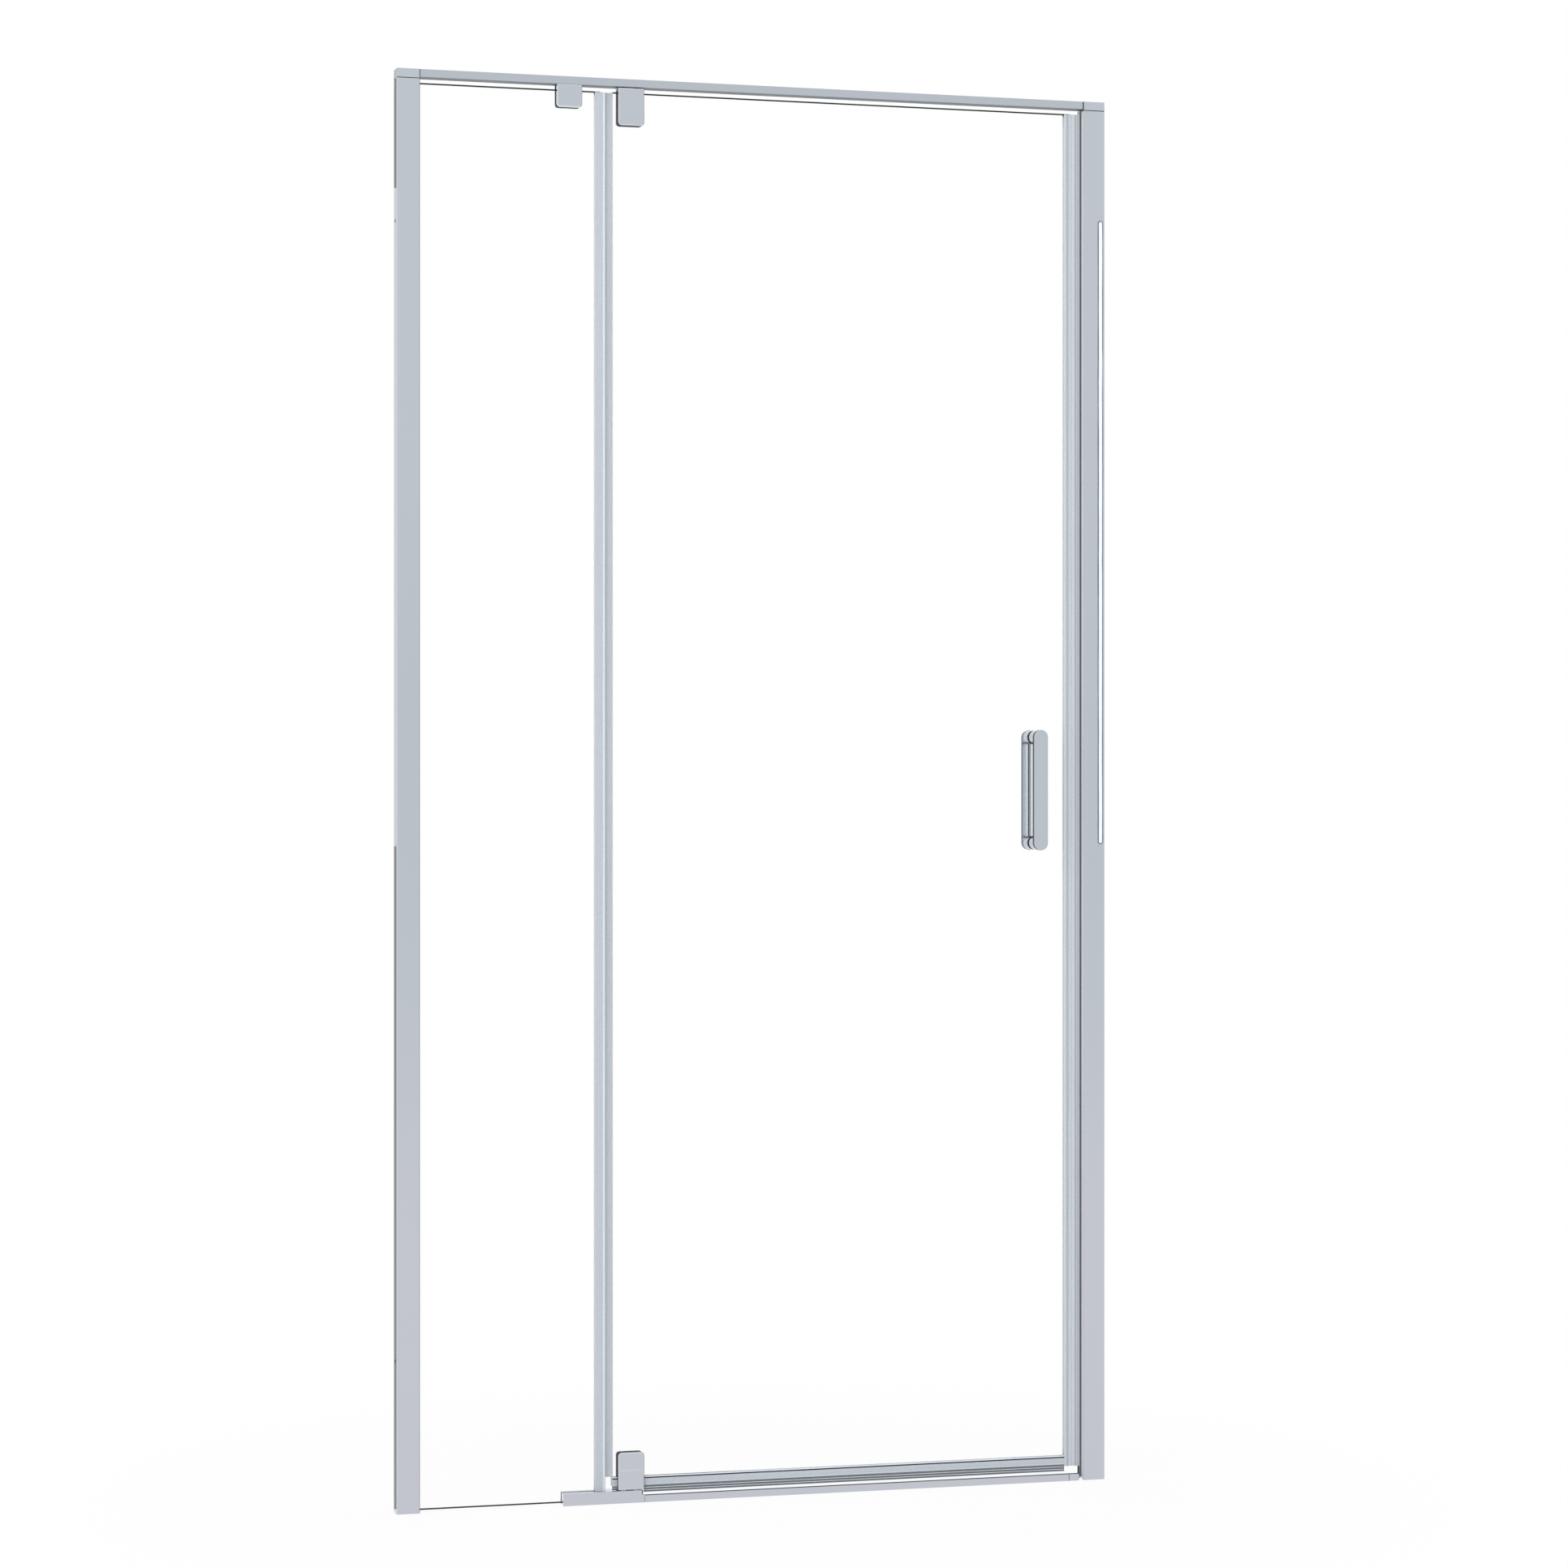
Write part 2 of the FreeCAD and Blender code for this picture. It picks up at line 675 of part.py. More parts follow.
class GlassFitting:
    """Two plates that clamp the glass round a notch, the rear one with a boss in the notch.

    frame_side is the height of the fitting's end at the frame, glass_edge that of the notched edge,
    and inwards is 1 where the fitting reaches up from the sill and -1 where it hangs from the header.
    """

    def __init__(self, name, x, frame_side, glass_edge, inwards):
        self.name = name
        self.x = x
        self.frame_side = frame_side
        self.glass_edge = glass_edge
        self.inwards = inwards

    def set_plate(self, width, height):
        """Sets the outline of both plates."""
        self.left, self.right = self.x - width / 2, self.x + width / 2
        self.far = self.frame_side + height * self.inwards

    def set_notch(self, half, depth):
        """Sets the glass notch that the boss fills."""
        self.notch_half = half
        self.notch_floor = self.glass_edge + depth * self.inwards

    def set_screws(self, offsets, drop):
        """Sets the places of the screws."""
        self.screw_xs = [self.x + offset for offset in offsets]
        self.screw_z = self.frame_side + drop * self.inwards

    def plate_outline(self):
        """Returns the plate outline, square at the frame and rounded at its far end."""
        return rounded_plate(self.left, self.right, self.frame_side, self.far, size["plate_corner_radius"])

    def screw_rings(self, radius):
        """Returns one circle of that radius for each screw."""
        return [Ring(x, self.screw_z, radius) for x in self.screw_xs]

    def make_front_plate(self):
        """Front plate with a bevelled face and blind holes for the screws."""
        body = new_body(f"{self.name}_front_plate")
        pad(body, "XZ_Plane", -plate_face, -gasket_face, self.plate_outline())
        threads = self.screw_rings(screw_hole_radius)
        pocket(body, "XZ_Plane", -gasket_face - size["thread_depth"], -gasket_face, *threads)
        bevel(body, size["plate_bevel"], at_depth(-plate_face))
        return keep(body, f"{self.name}_front_plate")

    def make_rear_body(self):
        """Rear plate with the boss that reaches through the notch, and counterbored screw holes."""
        play = size["notch_clearance"]
        boss_half = self.notch_half - play
        boss = rounded_plate(
            self.x - boss_half,
            self.x + boss_half,
            self.frame_side,
            self.notch_floor - play * self.inwards,
            size["notch_radius"],
        )
        body = new_body(f"{self.name}_rear_body")
        pad(body, "XZ_Plane", gasket_face, plate_face, self.plate_outline())
        pad(body, "XZ_Plane", -gasket_face, gasket_face, boss)
        pocket(body, "XZ_Plane", -gasket_face, plate_face, *self.screw_rings(screw_hole_radius))
        sinks = self.screw_rings(size["screw_head_radius"] + clearance)
        pocket(body, "XZ_Plane", screw_seat, plate_face, *sinks)
        return keep(body, f"{self.name}_rear_body")

    def make_gaskets(self):
        """Gasket sheets round the notch, between the glass and each plate."""
        inset = size["gasket_inset"]
        left, right = self.left + inset, self.right - inset
        far = self.far - inset * self.inwards
        saddle = [
            Corner(left, self.glass_edge),
            Corner(self.x - self.notch_half, self.glass_edge),
            Corner(self.x - self.notch_half, self.notch_floor),
            Corner(self.x + self.notch_half, self.notch_floor),
            Corner(self.x + self.notch_half, self.glass_edge),
            Corner(right, self.glass_edge),
            Corner(right, far),
            Corner(left, far),
        ]
        members = []
        for face, start, end in (("front", -gasket_face, -half_glass), ("rear", half_glass, gasket_face)):
            gasket = new_body(f"{self.name}_gasket_{face}")
            pad(gasket, "XZ_Plane", start, end, saddle)
            members.append(gasket)
        return group(f"{self.name}_gaskets", members)

    def make_screws(self):
        """Returns the cap screws that run from the rear into the front plate."""
        reach = screw_seat + gasket_face + size["thread_depth"] - size["screw_head_recess"]
        members = []
        for number, x in enumerate(self.screw_xs, start=1):
            item = cap_screw(f"{self.name}_screw_{number}", reach)
            members.append(place(item, x, screw_seat, self.screw_z, tilt=-90))
        return members


def make_glass_clamp():
    """Clamp that hangs the fixed pane on the header."""
    clamp = GlassFitting("glass_clamp", clamp_x, header_bottom, glass_top, -1)
    clamp.set_plate(size["clamp_width"], size["clamp_height"])
    clamp.set_notch(size["clamp_notch_half_width"], size["clamp_notch_depth"])
    clamp.set_screws([length(0)], size["clamp_screw_drop"])
    clamp.make_front_plate()
    clamp.make_rear_body()
    clamp.make_gaskets()
    group("glass_clamp_screw", clamp.make_screws())


# --- pivots ----------------------------------------------------------------------------------


def make_top_bush():
    """Flanged bush in the header's lower wall, open at both ends."""
    bore = size["pin_radius"] + size["running_clearance"]
    flange, barrel = size["bush_flange_radius"], size["bush_barrel_radius"]
    low, high = -size["bush_flange_thickness"], size["bush_barrel_length"]
    half_section = [
        Corner(bore, low),
        Corner(flange, low),
        Corner(flange, 0),
        Corner(barrel, 0),
        Corner(barrel, high),
        Corner(bore, high),
    ]
    body = turned_body("top_pivot_bush", half_section)
    return keep(place(body, pivot_x, 0, header_bottom), "top_pivot_bush")


def bush_depth():
    """Returns how far the bottom bush reaches into its block."""
    return size["pin_reach"] + size["bush_floor"] + clearance


def make_bottom_bush():
    """Flanged cup bush in the pivot block, with a floor under the pin."""
    bore = size["pin_radius"] + size["running_clearance"]
    flange, barrel = size["bush_flange_radius"], size["bush_barrel_radius"]
    thickness, low = size["bush_flange_thickness"], -bush_depth()
    half_section = [
        Corner(0, low),
        Corner(barrel, low),
        Corner(barrel, 0),
        Corner(flange, 0),
        Corner(flange, thickness),
        Corner(bore, thickness),
        Corner(bore, low + size["bush_floor"]),
        Corner(0, low + size["bush_floor"]),
    ]
    body = turned_body("bottom_pivot_bush", half_section)
    return keep(place(body, pivot_x, 0, size["block_height"]), "bottom_pivot_bush")


def make_hinge(name, frame_side, glass_edge, inwards):
    """One pivot hinge: a fitting on the door glass with a pivot pin in its boss. Returns its screws."""
    hinge = GlassFitting(name, pivot_x, frame_side, glass_edge, inwards)
    hinge.set_plate(size["hinge_width"], size["hinge_height"])
    hinge.set_notch(size["hinge_notch_half_width"], size["hinge_notch_depth"])
    hinge.set_screws([-size["hinge_screw_offset"], size["hinge_screw_offset"]], size["hinge_screw_drop"])
    front = hinge.make_front_plate()
    if inwards > 0:
        line_z = frame_side + size["split_line_height"]
        line = rectangle(hinge.left, hinge.right, line_z, line_z + size["split_line_width"])
        pocket(front, "XZ_Plane", -plate_face, -plate_face + size["split_line_depth"], line)

    bore_end = frame_side + size["pin_engagement"] * inwards
    bore = Ring(pivot_x, 0, size["pin_radius"] + size["running_clearance"])
    rear = hinge.make_rear_body()
    pocket(rear, "XY_Plane", *ordered(frame_side, bore_end), bore)
    hinge.make_gaskets()

    pin = document.addObject("Part::Cylinder", f"{name}_pin")
    pin_low, pin_high = ordered(bore_end, frame_side - size["pin_reach"] * inwards)
    pin.setExpression("Radius", size["pin_radius"].text)
    pin.setExpression("Height", (pin_high - pin_low).text)
    keep(place(pin, pivot_x, 0, pin_low), f"{name}_pin")
    return hinge.make_screws()


def make_hinges():
    """Hinges at the header and on the pivot block."""
    top_z = header_bottom - size["hinge_top_gap"]
    bottom_z = size["block_height"] + size["hinge_bottom_gap"]
    screws = make_hinge("top_hinge", top_z, glass_top, -1)
    screws += make_hinge("bottom_hinge", bottom_z, size["door_glass_bottom"], 1)
    group("hinge_screws", screws)


# --- sill ------------------------------------------------------------------------------------


def sill_section(half_depth, height, edge):
    """Returns the outer section of the sill, with two bevelled upper edges."""
    return [
        Corner(-half_depth, 0),
        Corner(half_depth, 0),
        Corner(half_depth, height - edge),
        Corner(half_depth - edge, height),
        Corner(-half_depth + edge, height),
        Corner(-half_depth, height - edge),
    ]


def sill_spigot():
    """Returns the section of the spigots that fit the hollow of the sill rail."""
    half = half_frame - size["sill_wall"] - clearance
    return rectangle(-half, half, 0, size["sill_height"] - size["sill_wall"] - clearance)


def make_sill_rail():
    """Low sill rail under the door, hollow and open at the floor."""
    wall, height = size["sill_wall"], size["sill_height"]
    outer = sill_section(half_frame, height, size["sill_bevel"])
    hollow = rectangle(-half_frame + wall, half_frame - wall, 0, height - wall)
    body = new_body("sill_rail")
    pad(body, "YZ_Plane", block_right_x, sill_end_x, outer)
    pocket(body, "YZ_Plane", block_right_x, sill_end_x, hollow)
    return keep(body, "sill_rail")


def make_sill_end_block():
    """Block that closes the sill beside the closing jamb, with a spigot in the rail."""
    outer = sill_section(half_frame, size["sill_height"], size["sill_bevel"])
    body = new_body("sill_end_block")
    pad(body, "YZ_Plane", sill_end_x, sill_end_x + size["sill_block_length"], outer)
    pad(body, "YZ_Plane", sill_end_x - size["spigot_length"], sill_end_x, sill_spigot())
    return keep(body, "sill_end_block")


def make_pivot_block():
    """Bottom block: it holds the corner of the fixed pane and the pivot bush, and joins the sill.

    Above the sill its end is an arc round the pivot, so that the door's sweep clears it.
    """
    radius = size["block_end_radius"]
    arc_x = pivot_x + (radius * radius - half_frame * half_frame).root()
    height, sill = size["block_height"], size["sill_height"]
    upper = [
        Corner(block_left_x, -half_frame),
        Corner(arc_x, -half_frame, (pivot_x, length(0)), radius),
        Corner(arc_x, half_frame),
        Corner(block_left_x, half_frame),
    ]
    slot_end = fixed_edge_x + size["liner_thickness"]
    slot_half = half_glass + size["liner_thickness"]
    slot_floor = size["fixed_glass_bottom"] - size["liner_thickness"]
    body = new_body("bottom_pivot_block")
    pad(body, "XY_Plane", 0, sill, rectangle(block_left_x, block_right_x, -half_frame, half_frame))
    pad(body, "XY_Plane", sill, height, upper)
    pad(body, "YZ_Plane", block_right_x, block_right_x + size["spigot_length"], sill_spigot())
    pocket(body, "XY_Plane", slot_floor, height, rectangle(block_left_x, slot_end, -slot_half, slot_half))
    bush_hole = Ring(pivot_x, 0, size["bush_barrel_radius"] + size["running_clearance"])
    pocket(body, "XY_Plane", height - bush_depth(), height, bush_hole)
    return keep(body, "bottom_pivot_block")


def make_block_liner():
    """Thin liner between the fixed pane and the slot of the pivot block."""
    outer = half_glass + size["liner_thickness"]
    floor, glass_bottom = size["fixed_glass_bottom"] - size["liner_thickness"], size["fixed_glass_bottom"]
    height = size["block_height"]
    section = [
        Corner(-outer, floor),
        Corner(outer, floor),
        Corner(outer, height),
        Corner(half_glass, height),
        Corner(half_glass, glass_bottom),
        Corner(-half_glass, glass_bottom),
        Corner(-half_glass, height),
        Corner(-outer, height),
    ]
    seal_start_x = fixed_edge_x - size["edge_seal_grip"]
    body = new_body("pivot_block_liner")
    pad(body, "YZ_Plane", block_left_x, seal_start_x, section)
    return keep(body, "pivot_block_liner")


# --- door ------------------------------------------------------------------------------------


def make_door_glass():
    """Door pane with a notch at each hinge and two holes for the handle."""
    bottom = size["door_glass_bottom"]
    half, depth = size["hinge_notch_half_width"], size["hinge_notch_depth"]
    outline = [
        Corner(door_tail_x, bottom),
        *notch(pivot_x, half, depth, bottom, 1),
        Corner(door_edge_x, bottom),
        Corner(door_edge_x, glass_top),
        *notch(pivot_x, half, depth, glass_top, -1),
        Corner(door_tail_x, glass_top),
    ]
    body = new_body("door_glass")
    pad(body, "XZ_Plane", -half_glass, half_glass, outline, *handle_rings(size["handle_hole_radius"]))
    return keep(body, "door_glass")


def handle_heights():
    """Returns the heights of the two handle posts."""
    half = size["grip_centres"] / 2
    return [size["handle_height"] - half, size["handle_height"] + half]


def handle_rings(radius):
    """Returns one circle at each handle post."""
    return [Ring(handle_x, height, radius) for height in handle_heights()]


def sweep_section(bottom):
    """Returns the section of the sweep: a grip on the glass edge and a ribbed fin down to bottom."""
    outer = half_glass + size["sweep_wall"]
    edge = size["door_glass_bottom"]
    floor, top = edge - size["sweep_floor"], edge + size["sweep_grip"]
    fin_front = -outer + size["sweep_rib_depth"]
    fin_rear = fin_front + size["sweep_fin_thickness"]
    corners = [
        Corner(outer, floor),
        Corner(outer, top),
        Corner(half_glass, top),
        Corner(half_glass, edge),
        Corner(-half_glass, edge),
        Corner(-half_glass, top),
        Corner(-outer, top),
        Corner(-outer, floor),
        Corner(fin_front, floor),
    ]
    ribs = []
    rib_top = bottom + size["sweep_rib_pitch"]
    while rib_top.value < floor.value:
        ribs.append(rib_top)
        rib_top = rib_top + size["sweep_rib_pitch"]
    for rib_top in reversed(ribs):
        corners.append(Corner(fin_front, rib_top))
        corners.append(Corner(-outer, rib_top))
        corners.append(Corner(-outer, rib_top - size["sweep_rib_height"]))
        corners.append(Corner(fin_front, rib_top - size["sweep_rib_height"]))
    corners.append(Corner(fin_front, bottom))
    corners.append(Corner(fin_rear, bottom))
    corners.append(Corner(fin_rear, floor))
    return corners


def make_sweeps():
    """Sweep along the bottom edge of the door: the long piece, and the short one on the tail."""
    seal_x = door_edge_x - size["door_seal_grip"]
    sweep = new_body("door_sweep")
    bottom = size["door_glass_bottom"] - size["sweep_floor"] - size["sweep_fin_length"]
    pad(sweep, "YZ_Plane", block_right_x + size["moving_gap"], seal_x, sweep_section(bottom))
    keep(sweep, "door_sweep")

    tail = new_body("door_sweep_tail")
    tail_bottom = size["block_height"] + size["moving_gap"]
    hinge_x = pivot_x - size["hinge_width"] / 2
    pad(tail, "YZ_Plane", door_tail_x, hinge_x, sweep_section(tail_bottom))
    keep(tail, "door_sweep_tail")


def make_door_seal():
    """Magnetic seal on the closing edge of the door, with its strip in a closed chamber."""
    grip = half_glass + size["door_seal_wall"]
    deep = size["door_seal_half_depth"]
    grip_x = door_edge_x - size["door_seal_grip"]
    chamber_x = door_edge_x + size["door_seal_shoulder"]
    end_x = door_seal_end_x
    wall, half = size["magnet_wall"], size["magnet_half_depth"]
    section = [
        Corner(grip_x, -grip),
        Corner(chamber_x, -grip),
        Corner(chamber_x, -deep),
        Corner(end_x, -deep),
        Corner(end_x, deep),
        Corner(chamber_x, deep),
        Corner(chamber_x, grip),
        Corner(grip_x, grip),
        Corner(grip_x, half_glass),
        Corner(door_edge_x, half_glass),
        Corner(door_edge_x, -half_glass),
        Corner(grip_x, -half_glass),
    ]
    magnet_end = end_x - wall
    magnet_start = magnet_end - size["magnet_thickness"]
    chamber = rectangle(magnet_start - clearance, magnet_end, -half - clearance, half + clearance)
    top = glass_top - size["door_seal_top_gap"]
    seal = new_body("door_magnet_seal")
    pad(seal, "XY_Plane", size["door_seal_bottom"], top, section, chamber)
    keep(seal, "door_magnet_seal")

    strip = new_body("door_magnet_strip")
    pad(strip, "XY_Plane", size["door_seal_bottom"], top, rectangle(magnet_start, magnet_end, -half, half))
    keep(strip, "door_magnet_strip")


def make_strike():
    """Strike on the closing jamb: a seal clipped in the jamb's groove, and its magnetic strip."""
    jamb_x = across(RIGHT, size["jamb_width"])
    base_x = jamb_x - size["strike_base"]
    deep, half = size["strike_half_depth"], size["magnet_half_depth"]
    neck = size["groove_half_width"] - clearance
    barb = neck + size["strike_barb"]
    clip_x = jamb_x + size["jamb_wall"] + clearance
    barb_x = clip_x + size["strike_clip_depth"]
    section = [
        Corner(strike_x, -deep),
        Corner(jamb_x, -deep),
        Corner(jamb_x, -neck),
        Corner(clip_x, -neck),
        Corner(clip_x, -barb),
        Corner(barb_x, -neck),
        Corner(barb_x, neck),
        Corner(clip_x, barb),
        Corner(clip_x, neck),
        Corner(jamb_x, neck),
        Corner(jamb_x, deep),
        Corner(strike_x, deep),
        Corner(strike_x, half),
        Corner(base_x, half),
        Corner(base_x, -half),
        Corner(strike_x, -half),
    ]
    seal = new_body("strike_seal")
    pad(seal, "XY_Plane", size["strike_bottom"], jamb_top, section)
    keep(seal, "strike_seal")

    strip = new_body("strike_magnet")
    pad(strip, "XY_Plane", size["strike_magnet_bottom"], jamb_top, rectangle(strike_x, base_x, -half, half))
    keep(strip, "strike_magnet")


# --- handle ----------------------------------------------------------------------------------


def make_handle():
    """Back-to-back handle: a grip on two posts on each face, the rear posts with studs through the glass."""
    washer, post_length = size["washer_thickness"], size["post_length"]
    post_start = half_glass + washer
    post_end = post_start + post_length
    grip_end = post_end + size["grip_thickness"]
    outline = stadium(handle_x, size["handle_height"], size["grip_centres"], size["grip_width"] / 2)
    bore = size["stud_radius"] + clearance
    bored_post = [
        Corner(bore, 0),
        Corner(size["post_radius"], 0),
        Corner(size["post_radius"], post_length),
        Corner(0, post_length),
        Corner(0, size["stud_engagement"] + clearance),
        Corner(bore, size["stud_engagement"] + clearance),
    ]
    stud_end = -post_start * 2 - size["stud_engagement"]
    studded_post = [
        Corner(0, stud_end),
        Corner(size["stud_radius"], stud_end),
        Corner(size["stud_radius"], 0),
        Corner(size["post_radius"], 0),
        Corner(size["post_radius"], post_length),
        Corner(0, post_length),
    ]
    ring = rectangle(bore, size["washer_radius"], 0, washer)
    washers = []
    for face, front, tilt, section in (("front", -1, 90, bored_post), ("rear", 1, -90, studded_post)):
        grip = new_body(f"handle_grip_{face}")
        pad(grip, "XZ_Plane", *ordered(post_end * front, grip_end * front), outline)
        bevel(grip, size["grip_bevel"], at_depth(grip_end * front))
        keep(grip, f"handle_grip_{face}")
        posts = []
        for number, height in enumerate(handle_heights(), start=1):
            post = turned_body(f"handle_post_{face}_{number}", section)
            posts.append(place(post, handle_x, post_start * front, height, tilt=tilt))
            disc = turned_body(f"handle_washer_{face}_{number}", ring)
            washers.append(place(disc, handle_x, half_glass * front, height, tilt=tilt))
        group(f"handle_posts_{face}", posts)
    group("handle_washers", washers)


# --- assembly --------------------------------------------------------------------------------


def check_document():
    """Stops if a feature failed, a cut removed nothing or a sub-part has no valid shape."""
    for item in document.Objects:
        if "Invalid" in item.State or "Error" in item.State:
            raise RuntimeError(f"{item.Name} failed: {item.State}")
        if item.TypeId == "PartDesign::Pocket":
            before = item.BaseFeature.Shape.Volume
            if item.Shape.Volume >= before:
                raise RuntimeError(f"{item.Name} cuts nothing")
    for item in nodes:
        if item.Shape.isNull() or not item.Shape.isValid():
            raise RuntimeError(f"{item.Label} has no valid shape")


def write_nodes():
    """Writes each sub-part to its own file."""
    os.makedirs("parts", exist_ok=True)
    for item in nodes:
        item.Shape.exportStep(f"parts/{item.Label}.step")
        print(f"{item.Label}: {len(item.Shape.Solids)} solids, {item.Shape.Volume / 1000:.2f} cm3")


def main():
    """Builds the frame, then the door, and writes every sub-part."""
    for side in (LEFT, RIGHT):
        make_wall_channel(side)
        make_jamb(side)
        make_header_cap(side)
    make_header_rail()
    make_fixed_glass()
    make_glazing_gasket()
    make_edge_seal()
    make_glass_clamp()
    make_top_bush()
    make_bottom_bush()
    make_pivot_block()
    make_block_liner()
    make_sill_rail()
    make_sill_end_block()
    make_strike()
    make_door_glass()
    make_hinges()
    make_sweeps()
    make_door_seal()
    make_handle()
    document.recompute()
    check_document()
    write_nodes()


main()
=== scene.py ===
"""Looks of a pivot shower door: polished profiles, clear panes, frosted seals, pivots and pull handle."""
import logging
import math
from collections.abc import Callable, Sequence
from dataclasses import dataclass, field
from enum import Enum
from functools import lru_cache

import bmesh
import bpy
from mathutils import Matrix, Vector


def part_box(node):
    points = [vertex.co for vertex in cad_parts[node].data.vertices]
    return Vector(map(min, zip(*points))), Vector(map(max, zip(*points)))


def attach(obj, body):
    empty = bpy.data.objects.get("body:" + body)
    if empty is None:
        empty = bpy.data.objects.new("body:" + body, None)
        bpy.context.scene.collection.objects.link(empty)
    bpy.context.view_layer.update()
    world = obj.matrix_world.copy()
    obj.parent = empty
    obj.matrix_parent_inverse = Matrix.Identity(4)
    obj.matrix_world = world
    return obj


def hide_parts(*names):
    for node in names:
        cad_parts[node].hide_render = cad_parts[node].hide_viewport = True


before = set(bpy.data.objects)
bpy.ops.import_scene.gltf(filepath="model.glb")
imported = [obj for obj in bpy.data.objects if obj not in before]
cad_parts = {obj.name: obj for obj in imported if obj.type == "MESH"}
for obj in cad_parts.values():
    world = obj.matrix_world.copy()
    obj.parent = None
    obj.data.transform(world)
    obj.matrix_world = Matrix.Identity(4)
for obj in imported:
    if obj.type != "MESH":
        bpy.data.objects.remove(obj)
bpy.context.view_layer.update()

log = logging.getLogger("shower_door")

Material = bpy.types.Material
Node = bpy.types.Node
Socket = bpy.types.NodeSocket
Edge = bmesh.types.BMEdge
Face = bmesh.types.BMFace
Chooser = Callable[[Face], Material | None]
Colour = tuple[float, float, float]
Point2 = tuple[float, float]
Point3 = tuple[float, float, float]
Number = float | int

MM = 0.001
HAIR = 1e-6  # places that are closer than this, in metres, are the same
NEAR = 0.1 * MM  # the reach of tests that find an edge on a face's rim
SHARP = 28.0  # an edge is rounded where its faces turn by more than this, in degrees
SMOOTH = 40.0  # faces run into each other up to this turn, in degrees
# Parts of a face's normal along an axis, by which its finish is chosen:
FLAT = 0.995  # lies square to the axis
FACES = 0.9  # faces along the axis
TURNED = 0.5  # is turned towards it
LEANS = 0.3  # leans towards it
SLOPES = 0.2  # slopes a little towards it
TILTS = 0.15  # barely tilts towards it
ASIDE = 0.1  # at most this where the face stands along it
WHITE: Colour = (1.0, 1.0, 1.0)


@lru_cache(maxsize=None)
def box_of(node: str) -> tuple[Vector, Vector]:
    """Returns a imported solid's lowest and highest corners."""
    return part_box(node)


class Body(Enum):
    """The two bodies that pieces ride on."""

    FRAME = "frame"
    DOOR = "door"


class Run(Enum):
    """The way that a profile was drawn through its die, along which its fine lines lie."""

    UPRIGHT = (1.0, 1.0, 0.012)
    LEVEL = (0.012, 1.0, 1.0)
    NONE = (1.0, 1.0, 1.0)


class Side(Enum):
    """The side of the glass that faces the room, or the one that faces the shower."""

    FRONT = "front"
    REAR = "rear"


class Slot(Enum):
    """The record's material slots, which the calls that make the shown pieces name."""

    METAL = "frame_aluminium"
    FITTING = "chrome_fittings"
    GLASS = "clear_glass"
    SEAL = "clear_seal"
    SCREW = "screw_steel"


# --- shader kit ---


class Value:
    """A number that varies over a surface; maths on it adds the Math nodes that work it out."""

    def __init__(self, nodes: "Nodes", socket: Socket) -> None:
        """Keeps the output socket that gives the number, and the node tree that it belongs to."""
        self.nodes = nodes
        self.socket = socket

    def _maths(self, operation: str, first: "Value | Number", second: "Value | Number" = 0.0) -> "Value":
        """Adds a Math node on one or two numbers and returns its result."""
        node = self.nodes.add("ShaderNodeMath", {"operation": operation}, {0: first, 1: second})
        return Value(self.nodes, node.outputs[0])

    def __add__(self, other: "Value | Number") -> "Value":
        """Returns the sum."""
        return self._maths("ADD", self, other)

    def __radd__(self, other: "Value | Number") -> "Value":
        """Returns the sum, with the plain number first."""
        return self._maths("ADD", other, self)

    def __sub__(self, other: "Value | Number") -> "Value":
        """Returns the difference."""
        return self._maths("SUBTRACT", self, other)

    def __rsub__(self, other: "Value | Number") -> "Value":
        """Returns the difference from a plain number."""
        return self._maths("SUBTRACT", other, self)

    def __mul__(self, other: "Value | Number") -> "Value":
        """Returns the product."""
        return self._maths("MULTIPLY", self, other)

    def __rmul__(self, other: "Value | Number") -> "Value":
        """Returns the product, with the plain number first."""
        return self._maths("MULTIPLY", other, self)

    def __truediv__(self, other: "Value | Number") -> "Value":
        """Returns the quotient."""
        return self._maths("DIVIDE", self, other)

    def __pow__(self, power: Number) -> "Value":
        """Returns the number raised to a power."""
        return self._maths("POWER", self, power)

    def above(self, limit: Number) -> "Value":
        """Returns 1 where the number is over the limit and 0 elsewhere."""
        return self._maths("GREATER_THAN", self, limit)

    def ramp(self, start: Number, end: Number) -> "Value":
        """Returns a smooth rise from 0 at the start to 1 at the end, held to 0..1."""
        settings = {"interpolation_type": "SMOOTHSTEP", "clamp": True}
        sockets = {"Value": self, "From Min": start, "From Max": end}
        node = self.nodes.add("ShaderNodeMapRange", settings, sockets)
        return Value(self.nodes, node.outputs["Result"])


